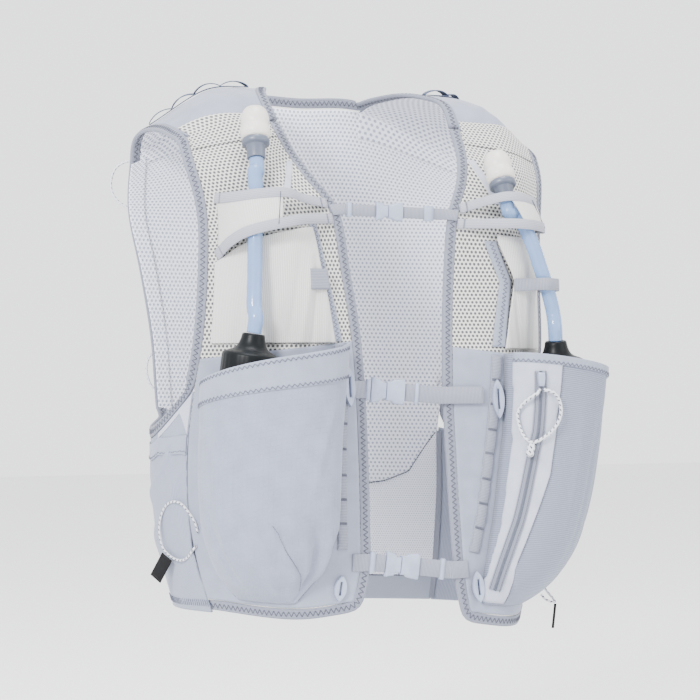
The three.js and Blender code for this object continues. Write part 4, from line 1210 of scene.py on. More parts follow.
# Flask pockets. Each row of an outline: share down the front, and the margins at the pocket's two sides.
POCKET_OUTLINE = {
    "right": [
        (0.50, 0.120, 0.08), (0.67, 0.155, 0.13), (0.82, 0.170, 0.14), (0.90, 0.250, 0.17),
        (0.97, 0.400, 0.26),
    ],
    "left": [
        (0.50, 0.360, 0.02), (0.67, 0.290, 0.02), (0.82, 0.180, 0.03), (0.90, 0.130, 0.06),
        (0.97, 0.100, 0.16),
    ],
}
# The left pocket flares at its mouth and draws in below: share down, and depth over the plain form
LEFT_FLARE = ([0.0, 0.15, 0.35, 0.50, 0.62, 0.80, 1.0], [1.30, 1.24, 1.12, 1.02, 0.93, 0.92, 1.0])
POCKET_HEM = {"right": (0.519, 0.585), "left": (0.525, 0.565)}
POCKET_BOTTOM = 0.958
CAP_RADIUS = 24.5
CAP_LIFT = 5.5 + CAP_RADIUS
POCKET_LIFT = PANEL + 0.9
POCKET_DEPTH = CAP_LIFT + CAP_RADIUS + 1.5 - POCKET_LIFT


def pocket_points(name, u, v):
    """Points of a flask pocket's inner face at shares across and down it."""
    front = fronts[name]
    u, v = np.broadcast_arrays(np.asarray(u, float), np.asarray(v, float))
    spread = mix(u, (1 - np.cos(math.pi * u)) / 2, 0.6)
    hem = POCKET_HEM[name]
    down = mix(mix(hem[0], hem[1], spread), POCKET_BOTTOM, v)
    downs, inners, outers = zip(*POCKET_OUTLINE[name])
    left = np.interp(down, downs, inners)
    right = 1 - np.interp(down, downs, outers)
    bulge = np.maximum(0, np.sin(math.pi * spread)) ** 0.42 * (1 - v ** 5)
    if name == "left":
        bulge = bulge * (1 + smooth(spread, 0.1, 0.6) * (np.interp(v, *LEFT_FLARE) - 1))
    return front.at(mix(left, right, spread), down, POCKET_LIFT + POCKET_DEPTH * bulge)[0]


def pocket_normals(name, u, v, step=0.02):
    across = pocket_points(name, np.minimum(1, u + step), v) - pocket_points(name, np.maximum(0, u - step), v)
    down = pocket_points(name, u, np.minimum(1, v + step)) - pocket_points(name, u, np.maximum(0, v - step))
    normal = unit(np.cross(across, down))
    outwards = pocket_points(name, u, v) - fronts[name].core
    return normal * np.sign(np.sum(normal * outwards, axis=-1, keepdims=True))


def pocket_at(name, u, v, lift):
    u, v = np.broadcast_arrays(np.asarray(u, float), np.asarray(v, float))
    return pocket_points(name, u, v) + pocket_normals(name, u, v) * np.asarray(lift, float)[..., None]


def pocket_layout(points):
    """A layout that follows the cloth: across its rows and down its columns, in millimetres."""
    across = np.linalg.norm(np.diff(points, axis=1), axis=2)
    down = np.linalg.norm(np.diff(points, axis=0), axis=2)
    u = np.concatenate([np.zeros((len(points), 1)), np.cumsum(across, axis=1)], axis=1)
    v = np.concatenate([np.zeros((1, points.shape[1])), np.cumsum(down, axis=0)], axis=0)
    return np.stack([u - u[:, -1:] / 2, v], axis=-1)


# Rows of folds in shares across and down a pocket, with their spread in shares and their rise in millimetres
POCKET_FOLDS = {
    "right": [
        (0.30, 0.60, 0.09, 0.96, 0.030, -4.5), (0.20, 0.66, 0.04, 0.88, 0.020, 2.2),
        (0.42, 0.30, 0.36, 0.80, 0.020, -1.6), (0.55, 0.22, 0.52, 0.75, 0.022, -1.5),
        (0.24, 0.25, 0.30, 0.60, 0.022, 1.2), (0.66, 0.25, 0.62, 0.70, 0.018, 1.1),
        (0.40, 0.64, 0.16, 0.94, 0.020, -1.8), (0.52, 0.75, 0.30, 0.95, 0.022, 1.4),
        (0.72, 0.55, 0.60, 0.90, 0.022, -1.4),
    ],
    "left": [
        (0.36, 0.20, 0.33, 0.75, 0.020, 1.0), (0.48, 0.25, 0.42, 0.80, 0.022, -1.2),
        (0.60, 0.20, 0.55, 0.80, 0.022, 1.0), (0.15, 0.80, 0.30, 0.95, 0.022, 1.0),
    ],
}
# Share down the left pocket, and share across it
ZIP_SEAM = [
    (0.0, 0.265), (0.26, 0.230), (0.48, 0.232), (0.63, 0.200), (0.83, 0.185), (0.97, 0.233), (1.0, 0.24),
]


def pocket_piece(name, label, u_range, v_range, size, look, lift, thickness, nodes=(), limits=None):
    """A wall over part of a flask pocket, which follows the pocket's folds."""
    v = np.linspace(*v_range, size[0])[:, None]
    u = np.linspace(0, 1, size[1])[None, :]
    low, high = (u_range if limits is None else limits(v))
    u, v = np.broadcast_arrays(mix(low, high, u), v)
    relief = 1.5 * folds(u, v, POCKET_FOLDS[name]) * smooth(v, 0.08, 0.2)
    inner = pocket_at(name, u, v, lift + relief)
    outer = pocket_at(name, u, v, lift + relief + thickness)
    wall(label, inner, outer, look, "cloth", nodes, pocket_layout(inner))


def seam_u(v):
    """The share across the left pocket at which the seam of its zip panel runs."""
    at, where = zip(*ZIP_SEAM)
    return np.interp(v, at, where)


pocket_piece(
    "right", "flask_pocket_right_look", (0, 1), (0, 1), (90, 110), "ripstop", 0.0, 1.3,
    ["flask_pocket_right"],
)
pocket_piece("right", "flask_pocket_hem_right", (0.004, 0.996), (-0.004, 0.135), (14, 110), "cloth", 1.5, 0.8)
pocket_piece(
    "left", "flask_pocket_left_look", (0, 1), (0, 1), (90, 110), "rib_cloth", 0.0, 1.2,
    ["flask_pocket_left"],
)
pocket_piece(
    "left", "flask_pocket_panel_left", (0, 1), (0.0, 0.985), (70, 40), "white_cloth", 1.35, 0.6,
    limits=lambda v: (0.001 + 0 * v, seam_u(v)),
)
pocket_piece("left", "flask_pocket_hem_left", (0.004, 0.996), (-0.004, 0.035), (6, 110), "cloth", 1.45, 1.2)


def pocket_stitches(label, name, u, v, lift, kind):
    repeats(label, pocket_at(name, u, v, lift), pocket_normals(name, u, v), "seam_thread", kind)


span = np.linspace(0.02, 0.98, 160)
for name, v_at, lift in (("right", 0.125, 2.6), ("right", 0.012, 2.6), ("left", 0.028, 2.9)):
    label = f"flask_pocket_{name}_stitches_{int(1000 * v_at)}"
    pocket_stitches(label, name, span, v_at, lift, "pocket_hem")
downs = np.linspace(0.02, 0.98, 120)
pocket_stitches("flask_pocket_seam_left", "left", seam_u(downs), downs, 2.1, "panel_seam")
for edge, u_at in (("inner", 0.012), ("outer", 0.988)):
    for name in SIDES:
        label = f"flask_pocket_{edge}_edge_stitches_{name}"
        pocket_stitches(label, name, u_at, downs, 1.5, "pocket_edge")
dart = through([(0.403, 0.64), (0.338, 0.756), (0.24, 0.86), (0.142, 0.933)], np.linspace(0, 1, 60))
pocket_stitches("flask_pocket_dart_right", "right", dart[:, 0], dart[:, 1], 1.2, "pocket_edge")


# Flasks, caps, drinking tubes, connectors and valves. Lengths along an axis start at its piece's foot.
FLASK_HALF_WIDTH = 31.5
FLASK_HALF_DEPTH = 18.6
CAP_HEIGHT = 38
CONNECTOR_HEIGHT = 18
TUBE_RADIUS = 6.4
TUBE_STRAIGHT = 13
JOINT_GAP = 0.5
# Share down the front, then the width, the depth and the lift as shares of the flask's own
FLASK_SECTIONS = [
    (0.895, 0.35, 0.30, 0.62), (0.885, 0.62, 0.55, 0.68), (0.850, 0.88, 0.85, 0.85),
    (0.780, 1.00, 1.00, 0.96), (0.700, 1.00, 1.00, 1.00), (0.640, 0.90, 0.95, 1.00),
    (0.605, 0.60, 0.80, 1.00),
]
FLASK_NECK = [(0.597, 15.0), (0.592, 13.8), (0.587, 13.8)]
FLASK_ACROSS = {"right": 0.583, "left": 0.611}
FLASK_TOP = 0.578
# Share across, share down and lift of each point that a tube runs through
TUBE_ROUTE = {
    "right": [
        (0.598, 0.460, 27.0), (0.598, 0.410, 24.0), (0.596, 0.334, 20.5), (0.550, 0.250, 17.5),
        (0.500, 0.180, 16.5),
    ],
    "left": [
        (0.627, 0.458, 28.0), (0.580, 0.422, 26.0), (0.536, 0.391, 24.0), (0.480, 0.341, 21.0),
        (0.400, 0.300, 19.0),
    ],
}
# Share across, share down and lift of the connector's foot, and of the point that its valve aims at
CONNECTOR_FOOT = {"right": (0.465, 0.141, 16.5), "left": (0.332, 0.269, 18.5)}
VALVE_AIM = {"right": (0.380, 0.010, 34), "left": (0.200, 0.080, 27)}
# Radius and height of each ring
CAP_PROFILE = [
    (22.4, 0.0), (22.7, 1.0), (24.0, 1.6), (24.4, 3.0), (24.4, 18.5), (23.9, 20.2), (22.6, 21.2),
    (20.0, 22.4), (16.0, 24.0), (13.2, 26.2), (11.6, 29.0), (10.6, 32.0), (10.0, 34.5), (9.7, 36.6),
    (9.2, 37.6), (8.4, 38.0),
]
CONNECTOR_PROFILE = [
    (7.4, 0.0), (7.9, 0.8), (7.9, 11.6), (8.6, 12.2), (11.2, 12.7), (11.9, 13.5), (11.9, 17.0),
    (11.2, 17.8), (9.5, 18.0),
]
VALVE_PROFILE = [
    (9.8, 0.0), (10.4, 0.4), (12.2, 2.2), (12.9, 5.0), (12.7, 8.0), (11.9, 10.6), (11.5, 12.4),
    (12.2, 14.6), (12.3, 18.0), (11.6, 21.5), (10.6, 24.5), (9.6, 26.6), (8.2, 28.2), (6.0, 28.9),
    (3.0, 28.2), (2.4, 26.0),
]


def on_front(name, row):
    return fronts[name].at(*row)[0]


def cap_ribs(turns, height):
    grip = 0.055 * float(smooth(height, 2.0, 4.5) * (1 - smooth(height, 13.5, 16.5)))
    return 1 - grip * (0.5 + 0.5 * np.cos(28 * turns)) ** 2


def soft_flask(name):
    """The flask's body, flat and wide below, drawn in to a round neck."""
    front, across = fronts[name], FLASK_ACROSS[name]
    turns = np.linspace(0, 2 * math.pi, 32, endpoint=False)
    places = np.linspace(0, 1, 40)
    rows = through([row[:3] for row in FLASK_SECTIONS], places)
    lifts = through([(row[0], row[3]) for row in FLASK_SECTIONS], places)[:, 1]
    shapes = [
        (down, wide * FLASK_HALF_WIDTH, thick * FLASK_HALF_DEPTH, lift * CAP_LIFT)
        for (down, wide, thick), lift in zip(rows, lifts)
    ]
    shapes += [(down, radius, radius, CAP_LIFT) for down, radius in FLASK_NECK]
    rings = []
    for down, half_width, half_depth, lift in shapes:
        centre, out = front.at(across, down, lift)
        tangent = front.tangent(across, down)
        rings.append([
            centre + tangent * (half_width * math.cos(t)) + out * (half_depth * math.sin(t)) for t in turns
        ])
    loft(f"soft_flask_{name}_look", rings, "flask", [f"soft_flask_{name}"])


def flask_top(name):
    """The cap, the drinking tube that rises from it, the connector and the bite valve."""
    across = FLASK_ACROSS[name]
    cap_foot = on_front(name, (across, FLASK_TOP, CAP_LIFT))
    cap_axis = unit(on_front(name, (across, FLASK_TOP - 0.1, CAP_LIFT)) - cap_foot)
    loft(
        f"flask_cap_{name}_look", turned_sections(cap_foot, cap_axis, CAP_PROFILE, 168, cap_ribs),
        "cap", [f"flask_cap_{name}"], flat_angle=50,
    )
    cap_top = cap_foot + cap_axis * CAP_HEIGHT
    foot = on_front(name, CONNECTOR_FOOT[name])
    valve_axis = unit(on_front(name, VALVE_AIM[name]) - foot)
    route = [
        cap_top + cap_axis * JOINT_GAP, cap_top + cap_axis * TUBE_STRAIGHT,
        *[on_front(name, row) for row in TUBE_ROUTE[name]],
        foot - valve_axis * TUBE_STRAIGHT, foot - valve_axis * JOINT_GAP,
    ]
    tube = tube_sections(through(route, np.linspace(0, 1, 90)), TUBE_RADIUS, 20)
    loft(f"drinking_tube_{name}_look", tube, "tube", [f"drinking_tube_{name}"])
    loft(
        f"tube_connector_{name}_look", turned_sections(foot, valve_axis, CONNECTOR_PROFILE, 48),
        "ring", [f"tube_connector_{name}"], flat_angle=50,
    )
    valve_foot = foot + valve_axis * (CONNECTOR_HEIGHT + JOINT_GAP)
    loft(
        f"bite_valve_{name}_look", turned_sections(valve_foot, valve_axis, VALVE_PROFILE, 48),
        "valve", [f"bite_valve_{name}"],
    )


for name in SIDES:
    soft_flask(name)
    flask_top(name)


# Tapes over the tubes. Each row of a route over a cloth: share across, share down and lift.
TAPE_WIDTH = 9.0
TAPE_THICK = 1.2
TAPE_LIFT = PANEL + 0.7
UPPER_TAPE = {
    "right": [
        (0.005, 0.288, TAPE_LIFT), (0.250, 0.281, 11), (0.430, 0.270, 23), (0.560, 0.262, 26.5),
        (0.700, 0.250, 20), (0.900, 0.232, TAPE_LIFT),
    ],
    "left": [
        (0.005, 0.286, TAPE_LIFT), (0.200, 0.280, 20), (0.340, 0.272, 28.5), (0.480, 0.262, 23),
        (0.700, 0.245, 9), (0.900, 0.232, TAPE_LIFT),
    ],
}
LOWER_TAPE = {
    "right": [
        (0.005, 0.319, TAPE_LIFT), (0.250, 0.322, 12), (0.450, 0.329, 25), (0.600, 0.336, 29.5),
        (0.740, 0.348, 22), (0.930, 0.372, TAPE_LIFT),
    ],
    "left": [
        (0.005, 0.318, TAPE_LIFT), (0.200, 0.322, 18), (0.420, 0.322, 29.5), (0.560, 0.317, 25),
        (0.750, 0.306, 11), (0.930, 0.295, TAPE_LIFT),
    ],
}


def cloth_line(cloth, rows, count):
    """Middles, ways across and normals along a route of share, down and lift over a cloth."""
    route = through(rows, np.linspace(0, 1, count))
    middle, facing = cloth.at(route[:, 0], route[:, 1], route[:, 2])
    run = unit(np.gradient(middle, axis=0))
    wide = unit(np.cross(facing, run))
    normal = unit(np.cross(run, wide))
    normal *= np.sign(np.sum(normal * facing, axis=1, keepdims=True))
    return middle, wide, normal


for name in SIDES:
    front = fronts[name]
    for level, routes in (("upper", UPPER_TAPE), ("lower", LOWER_TAPE)):
        middle, wide, normal = cloth_line(front, routes[name], 60)
        sections = tape_sections(middle, wide, normal, TAPE_WIDTH, TAPE_THICK)
        loft(f"{level}_tape_{name}_look", sections, "elastic", [f"{level}_tape_{name}"])
        for end, at in (("inner", 3), ("outer", 55)):
            line = np.stack([middle[at] + wide[at] * x + normal[at] * 1.3 for x in (-4, 0, 4)])
            ups = np.stack([normal[at]] * 3)
            repeats(f"{level}_tape_{end}_stitches_{name}", line, ups, "seam_thread", "tape_end")


def between_tapes(name, start, end, count=40):
    """A ribbed gusset that fills the gap between the upper and lower tapes."""
    front = fronts[name]
    upper = through(UPPER_TAPE[name], np.linspace(start[0], end[0], count))
    lower = through(LOWER_TAPE[name], np.linspace(start[1], end[1], count))
    rows = []
    for part in np.linspace(0.0, 1.0, 8):
        share, down, lift = mix(upper, lower, part).T
        rows.append(front.at(share, down, lift - 0.6)[0])
    inner = np.array(rows)
    way = unit(np.cross(np.gradient(inner, axis=1), np.gradient(inner, axis=0)))
    way *= np.sign(np.sum(way * (inner - front.core), axis=-1, keepdims=True))
    layout = np.stack(np.broadcast_arrays(run_of(inner[3])[None, :], column(0, 20, 8)), axis=-1)
    wall(f"tape_gusset_{name}", inner, inner + way * 0.9, "stretch", "stretch", (), layout)


between_tapes("right", (0.40, 0.42), (0.99, 0.99))
between_tapes("left", (0.38, 0.40), (0.99, 0.99))
for name, at in (("right", (0.415, 0.44)), ("left", (0.60, 0.62))):
    ends = []
    for routes, part in ((UPPER_TAPE, at[0]), (LOWER_TAPE, at[1])):
        share, down, lift = through(routes[name], [part])[0]
        ends.append(fronts[name].at(share, down, lift + 1.5))
    joint = np.linspace(ends[0][0], ends[1][0], 6)
    ups = np.stack([ends[0][1]] * 6)
    repeats(f"tape_joint_stitches_{name}", joint, ups, "thread", "tape_joint")

# Small tapes on the stretch pockets
patch(
    "tape_tab_right", fronts["right"], (0.400, 0.432, 0.155, 0.30), (10, 14), 1.6, "webbing", "webbing",
    lift=7.2,
)
LEFT_TAB = [
    (0.42, 0.415, 8.5), (0.49, 0.415, 18), (0.55, 0.415, 32), (0.62, 0.415, 33), (0.70, 0.415, 22),
    (0.84, 0.415, 8),
]
middle, wide, normal = cloth_line(fronts["left"], LEFT_TAB, 40)
loft("tape_tab_left", tape_sections(middle, wide, normal, 11, 1.2), "webbing")

# Dark loops of a daisy chain over each shoulder
SHOULDER_CHAIN = [
    (0.97, 0.690, 2.6), (0.86, 0.660, 2.6), (0.74, 0.630, 2.6), (0.62, 0.575, 2.6), (0.48, 0.52, 2.6),
    (0.33, 0.475, 2.6), (0.20, 0.462, 2.6), (0.10, 0.47, 2.6),
]
SHOULDER_LOOP = 24


def arches(run, count, foot, rise, roundness):
    """Heights over a line of an upper tape that is sewn down between each of a number of loops."""
    height = foot + rise * np.abs(np.sin(math.pi * run / (run[-1] / count))) ** roundness
    return height[:, None]


for name in SIDES:
    middle, wide, normal = cloth_line(yokes[name], SHOULDER_CHAIN, 120)
    run = run_of(middle)
    loft(f"shoulder_tape_{name}", tape_sections(middle, wide, normal, 9, 0.9), "dark_tape")
    arched = middle + normal * arches(run, round(run[-1] / SHOULDER_LOOP), 0.4, 4.2, 0.7)
    loft(f"shoulder_loops_{name}", tape_sections(arched, wide, normal, 7.5, 0.9), "dark_tape")

# Daisy chains and the hooks of the lower straps
TRIM_LIFT = PANEL + 0.5
DAISY_BAR = 20
DAISY_ROUTE = {
    "right": [
        (0.065, 0.527, TRIM_LIFT), (0.095, 0.640, TRIM_LIFT), (0.110, 0.750, TRIM_LIFT),
        (0.115, 0.860, TRIM_LIFT),
    ],
    "left": [
        (0.300, 0.527, TRIM_LIFT), (0.215, 0.683, TRIM_LIFT), (0.140, 0.780, TRIM_LIFT),
        (0.075, 0.855, TRIM_LIFT),
    ],
}
OVER_DAISY = TRIM_LIFT + 1.2 + 1.0 + 0.5
OVER_WEBBING = TAPE_LIFT + 1.4 + 0.5
# Level, side, share across, share down, length as a share of the longest, and lift
HOOKS = [
    ("upper", "right", 0.060, 0.594, 1.0, OVER_DAISY), ("lower", "right", 0.115, 0.936, 0.65, TRIM_LIFT),
    ("upper", "left", 0.270, 0.605, 1.0, OVER_DAISY), ("lower", "left", 0.074, 0.922, 0.8, OVER_WEBBING),
]
for name in SIDES:
    middle, wide, normal = cloth_line(fronts[name], DAISY_ROUTE[name], 90)
    run = run_of(middle)
    loft(
        f"daisy_chain_{name}_look", tape_sections(middle, wide, normal, 10.0, 1.2), "webbing",
        [f"daisy_chain_{name}"],
    )
    bars = int(run[-1] // DAISY_BAR)
    arched = middle + normal * arches(run, bars, 0.2, 1.3, 0.5)
    loft(f"daisy_loops_{name}", tape_sections(arched, wide, normal, 8.4, 1.0), "webbing")
    stitch_at = np.linspace(0, run[-1], bars + 1)[1:-1]
    for number, at in enumerate(stitch_at):
        k = int(np.argmin(np.abs(run - at)))
        line = np.stack([middle[k] + wide[k] * x + normal[k] * 1.9 for x in (-4, 0, 4)])
        ups = np.stack([normal[k]] * 3)
        repeats(f"daisy_bar_{number}_{name}", line, ups, "seam_thread", "daisy_bar")


HOOK_HALF = 17
HOOK_RISE = 5.5
# Share from the slot out to the hook's outline, and height
HOOK_PROFILE = [
    (1.0, 0.5), (1.0, 3.0), (0.93, 3.5), (0.15, 3.3), (0.0, 2.8), (0.0, 0.5), (0.15, 0.0), (0.93, 0.0),
]


def hook_look(level, name, across, down, length, lift):
    """A flat lens-shaped hook with a slot, rounded at its edges."""
    front = fronts[name]
    half, rise = HOOK_HALF * length, HOOK_RISE
    radius = (half ** 2 + rise ** 2) / (2 * rise)
    reach = math.asin(half / radius)
    turns = np.linspace(-reach, reach, 17)
    upper = [(radius * math.sin(t), radius * math.cos(t) - radius + rise) for t in turns]
    outline = np.array(upper[:-1] + [(-x, -y) for x, y in upper[:-1]])
    slot_x = np.clip(outline[:, 0] * 0.62, -half * 0.52, half * 0.52)
    slot_y = np.clip(outline[:, 1] * 0.9, -1.1, 1.1)
    point, out = front.at(across, down, lift)
    drop = front.drop(across, down)
    side = np.cross(out, drop)
    rings = [
        [point + drop * mix(sx, x, s) + side * mix(sy, y, s) + out * h for s, h in HOOK_PROFILE]
        for (x, y), sx, sy in zip(outline, slot_x, slot_y)
    ]
    loft(
        f"strap_hook_{level}_{name}_look", rings, "buckle", [f"strap_hook_{level}_{name}"],
        ring=True, flat_angle=60,
    )


for row in HOOKS:
    hook_look(*row)

# Chest straps: webbing, fastened buckle and keepers
WEBBING_THICK = 1.4
STRAP_START = -(EDGE_GAP + EDGE_WIDTH + 3)
# The webbing's width, its share down, its reach on to the right and left fronts, its lift on the left, the
# places across the chest of the buckle's two ends, and the buckle's height
STRAPS = {
    "top": (10, 0.304, -0.6, -0.6, TAPE_LIFT, -18, 7, 16),
    "middle": (15, 0.598, 2, 28, OVER_DAISY, -33, -2, 22),
    "bottom": (15, 0.886, 8, 4, TAPE_LIFT, -27, 4, 22),
}
# Place across the chest and length of each keeper
KEEPERS = {
    "top": ((-44, 4.0), (33, 9.0)), "middle": ((-36, 4.0), (10, 3.5)), "bottom": ((-40, 4.5), (27, 4.0)),
}
FORWARD = np.array((0.0, -1.0, 0.0))


class StrapRun:
    """The straight run of a strap across the chest, from the right front's edge to the left's."""

    def __init__(self, down, left_lift):
        self.down = down
        self.lifts = {"right": TAPE_LIFT, "left": left_lift}
        self.start = self.on_front("right", STRAP_START)[0]
        self.span = self.on_front("left", STRAP_START)[0] - self.start
        self.across = unit(self.span)
        self.facing = unit(FORWARD - self.across * (FORWARD @ self.across))
        self.wide = unit(np.cross(self.facing, self.across))

    def on_front(self, name, places):
        front = fronts[name]
        return front.at(np.asarray(places) / front.width(self.down), self.down, self.lifts[name])

    def at(self, x):
        return self.start + self.span * ((x - self.start[0]) / self.span[0])


def webbing(strap, name, strap_run, reach, buckle_x, width):
    """The webbing of one side, laid on the front and then straight to the buckle."""
    front, down = fronts[name], strap_run.down
    places = np.linspace(reach, STRAP_START, 12)
    middle, normal = strap_run.on_front(name, places)
    ways = -front.drop(np.clip(places, 0, None) / front.width(down), np.full(12, down))
    free = column(0.1, 1, 10)
    line = np.vstack([middle, middle[-1] + (strap_run.at(buckle_x) - middle[-1]) * free])
    sides = np.vstack([ways, np.broadcast_to(strap_run.wide, (10, 3))])
    ups = np.vstack([normal, np.broadcast_to(strap_run.facing, (10, 3))])
    loft(
        f"{strap}_webbing_{name}_look", tape_sections(line, sides, ups, width, WEBBING_THICK), "webbing",
        [f"{strap}_webbing_{name}"],
    )


def drawn_in(value, amount):
    """A distance from a middle line made shorter by an amount, but never past the line."""
    return value - math.copysign(min(amount, abs(value)), value)


def buckle_half(name, base, across, wide, facing, length, height, neck, depth):
    """Half of a fastened buckle: a broad end with softened edges, then its narrower waist."""
    half = height / 2
    narrow = neck * half
    outline = [
        (0.0, half - 2.2), (0.7, half - 0.7), (2.2, half), (0.45 * length, half),
        (0.58 * length, half - 0.35 * (half - narrow)), (0.7 * length, narrow), (length, narrow),
    ]
    full = outline + [(x, -y) for x, y in outline[::-1]]
    back = [
        base + across * (x if x > 0.5 else 0.7) + wide * drawn_in(y, 0.7) - facing * (depth / 2)
        for x, y in full
    ]
    rings = [back]
    rises = ((0.0, -depth / 2 + 0.7), (0.0, depth / 2 - 0.9), (0.7, depth / 2 - 0.15), (1.4, depth / 2))
    for grow, z in rises:
        ring = []
        for x, y in full:
            along = min(grow, x) if x < length / 2 else x
            ring.append(base + across * max(along, min(x, grow)) + wide * drawn_in(y, grow) + facing * z)
        rings.append(ring)
    loft(f"{name}_look", rings, "buckle", [name], flat_angle=45)


def keeper(name, centre, strap_run, size, soften=0.6):
    """A small block with softened edges round the webbing."""
    length, height, depth = (0.5 * s for s in size)
    outline = []
    for sy, sz, start in ((-1, -1, 180), (1, -1, -90), (1, 1, 0), (-1, 1, 90)):
        for k in range(3):
            turn = math.radians(start + 45 * k)
            y = sy * (height - soften) + soften * math.cos(turn)
            outline.append((y, sz * (depth - soften) + soften * math.sin(turn)))
    rows = []
    for x, share in ((-length, 0.8), (-length + 0.3, 1.0), (length - 0.3, 1.0), (length, 0.8)):
        middle = centre + strap_run.across * x
        rows.append([
            middle + strap_run.wide * (y * share) + strap_run.facing * (z * share) for y, z in outline
        ])
    loft(name, rows, "buckle", flat_angle=60)


strap_runs = {}
for strap, (width, down, right_reach, left_reach, left_lift, tongue, socket, height) in STRAPS.items():
    strap_run = StrapRun(down, left_lift)
    strap_runs[strap] = strap_run
    webbing(strap, "right", strap_run, right_reach, tongue - JOINT_GAP, width)
    webbing(strap, "left", strap_run, left_reach, socket + JOINT_GAP, width)
    meet = mix(tongue, socket, 0.45)
    across, wide, facing = strap_run.across, strap_run.wide, strap_run.facing
    buckle_half(
        f"{strap}_buckle_tongue", strap_run.at(tongue), across, wide, facing,
        meet - JOINT_GAP / 2 - tongue, height, 0.62, 4.8,
    )
    buckle_half(
        f"{strap}_buckle_socket", strap_run.at(socket), -across, -wide, facing,
        socket - meet - JOINT_GAP / 2, height, 0.74, 6.0,
    )
for strap, strap_run in strap_runs.items():
    width = STRAPS[strap][0]
    for number, (place, long) in enumerate(KEEPERS[strap]):
        centre = strap_run.at(place) + strap_run.facing * WEBBING_THICK / 2
        keeper(f"{strap}_keeper_{number}", centre, strap_run, (long, width + 3.0, 3.6))

# The zip on the left flask pocket
ZIP_LIFT = 2.4
SLIDER_LIFT = ZIP_LIFT + 1.2 + 0.5
SLIDER_PLACE = 4
# Share across and share down the pocket
ZIP_ROWS = [(0.16, 0.07), (0.155, 0.3), (0.14, 0.55), (0.12, 0.75), (0.10, 0.92)]
zip_u, zip_v = through(ZIP_ROWS, np.linspace(0, 1, 110)).T
zip_up = pocket_normals("left", zip_u, zip_v)
zip_middle = pocket_at("left", zip_u, zip_v, ZIP_LIFT)
zip_way = unit(np.gradient(zip_middle, axis=0))
zip_wide = unit(np.cross(zip_up, zip_way))
zip_sections = tape_sections(zip_middle, zip_wide, zip_up, 11, 1.0)
loft("zip_tape_look", zip_sections, "binding", ["zip_tape"])
for label, offset in (("a", -4.4), ("b", 4.4)):
    line = zip_middle + zip_wide * offset + zip_up * 1.05
    repeats(f"zip_tape_stitches_{label}", line, zip_up, "thread", "zip_tape")
repeats("zip_teeth", zip_middle + zip_up * 1.2, zip_up, "ring", "zip_teeth")

# Place along the slider, half its width and its height there
SLIDER_ROWS = [
    (-6, 2.4, 2.2), (-5.4, 3.2, 3.0), (-2, 3.4, 3.8), (2, 3.0, 3.8), (5, 2.6, 3.2), (6, 2.0, 2.4),
]
SLIDER_PROFILE = [(-1, 0), (-1, 0.75), (-0.8, 1), (0.8, 1), (1, 0.75), (1, 0)]
slider_base = pocket_at("left", zip_u[SLIDER_PLACE], zip_v[SLIDER_PLACE], SLIDER_LIFT)
slider_up, slider_way, slider_wide = (rows[SLIDER_PLACE] for rows in (zip_up, zip_way, zip_wide))
rings = [
    [
        slider_base + slider_way * step + slider_wide * x * half + slider_up * z * rise
        for x, z in SLIDER_PROFILE
    ]
    for step, half, rise in SLIDER_ROWS
]
loft("zip_slider_look", rings, "buckle", ["zip_slider"], flat_angle=40)

# Cords, the zip cord's knot and the tabs
cord_pieces, cord_lines = {}, {}
for name, (diameter, points) in CORDS.items():
    line = through(points, np.linspace(0, 1, 8 * len(points)))
    cord_lines[name] = line
    cord_pieces[name] = loft(name + "_look", tube_sections(line, diameter / 2, 10), "cord", [name])

KNOT_LENGTH = 12
knot_way = unit(np.array((0.4, 0.3, 0.85)))
knot_foot = np.array((102.4, -138.9, -309.2)) - knot_way * KNOT_LENGTH
knot_profile = [
    (0.6, 0), (2.4, 0.2), (3.3, 1.2), (3.6, 3.2), (3.2, 5.2), (2.9, 6.0), (3.2, 6.8), (3.6, 8.6), (3.2, 10.6),
    (2.2, 11.7), (0.6, KNOT_LENGTH),
]
knot_rings = turned_sections(knot_foot, knot_way, knot_profile, 20)
knot = loft("zip_knot_look", knot_rings, "cord", ["zip_knot"])


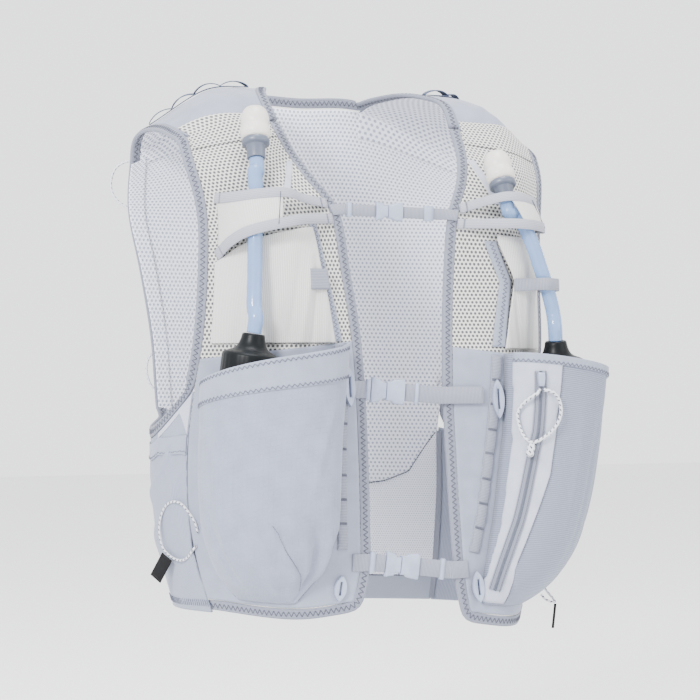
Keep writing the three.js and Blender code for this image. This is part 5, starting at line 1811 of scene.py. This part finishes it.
def tab_look(name, top, bottom, hint, width):
    """A flat tab from its top to its bottom, as wide as said across the way that the hint points in."""
    top, bottom, hint = (np.array(v, float) for v in (top, bottom, hint))
    run = unit(bottom - top)
    normal = unit(np.cross(run, hint))
    wide = np.cross(normal, run)
    line = np.linspace(top, bottom, 8)
    sections = tape_sections(line, np.tile(wide, (8, 1)), np.tile(normal, (8, 1)), width, 1.0)
    return loft(name + "_look", sections, "tab", [name])


draw_tab = tab_look("draw_tab_right", (-179, 4.2, -407), (-182.5, 22, -427), (6.6, -9, -4.3), 12)
hem_tab = tab_look("hem_tab_left", (167.2, -66.5, -455.7), (165.5, -65, -477.5), (1, 0.2, 0.1), 3)

# Floor, world and soft studio lights
FLOOR_HEIGHT = -0.62
FLOOR_REACH = 6.0
FLOOR_COLOR = (0.88, 0.88, 0.885)
WORLD_COLOR = (0.97, 0.98, 1.0, 1)
WORLD_STRENGTH = 2.3
LIGHT_AIM = Vector((0, 0, -0.22))
# Place, size and power of each light
LIGHTS = {
    "key_light": ((-2.1, -1.5, 1.0), 0.6, 130),
    "fill_light": ((1.6, -2.2, 0.4), 1.6, 30),
    "top_light": ((0.0, -0.3, 2.0), 1.0, 60),
}

floor_mesh = bpy.data.meshes.new("floor")
floor_corners = [
    (x * FLOOR_REACH, y * FLOOR_REACH, FLOOR_HEIGHT) for x, y in ((-1, -1), (1, -1), (1, 1), (-1, 1))
]
floor_mesh.from_pydata(floor_corners, [], [(0, 1, 2, 3)])
floor = bpy.data.objects.new("floor", floor_mesh)
floor_shade = Shade("floor_look", FLOOR_COLOR, 0.9)
uneven(floor_shade, FLOOR_COLOR, 0.985, 0.8)
floor_mesh.materials.append(floor_shade.material)
bpy.context.scene.collection.objects.link(floor)

world = bpy.data.worlds.new("studio")
bpy.context.scene.world = world
world.use_nodes = True
background = world.node_tree.nodes["Background"]
background.inputs["Color"].default_value = WORLD_COLOR
background.inputs["Strength"].default_value = WORLD_STRENGTH


def soft_light(name, place, size, power):
    light = bpy.data.lights.new(name, "AREA")
    light.size = size
    light.energy = power
    made = bpy.data.objects.new(name, light)
    made.location = place
    made.rotation_euler = (LIGHT_AIM - Vector(place)).to_track_quat("-Z", "Y").to_euler()
    bpy.context.scene.collection.objects.link(made)


for name, row in LIGHTS.items():
    soft_light(name, *row)
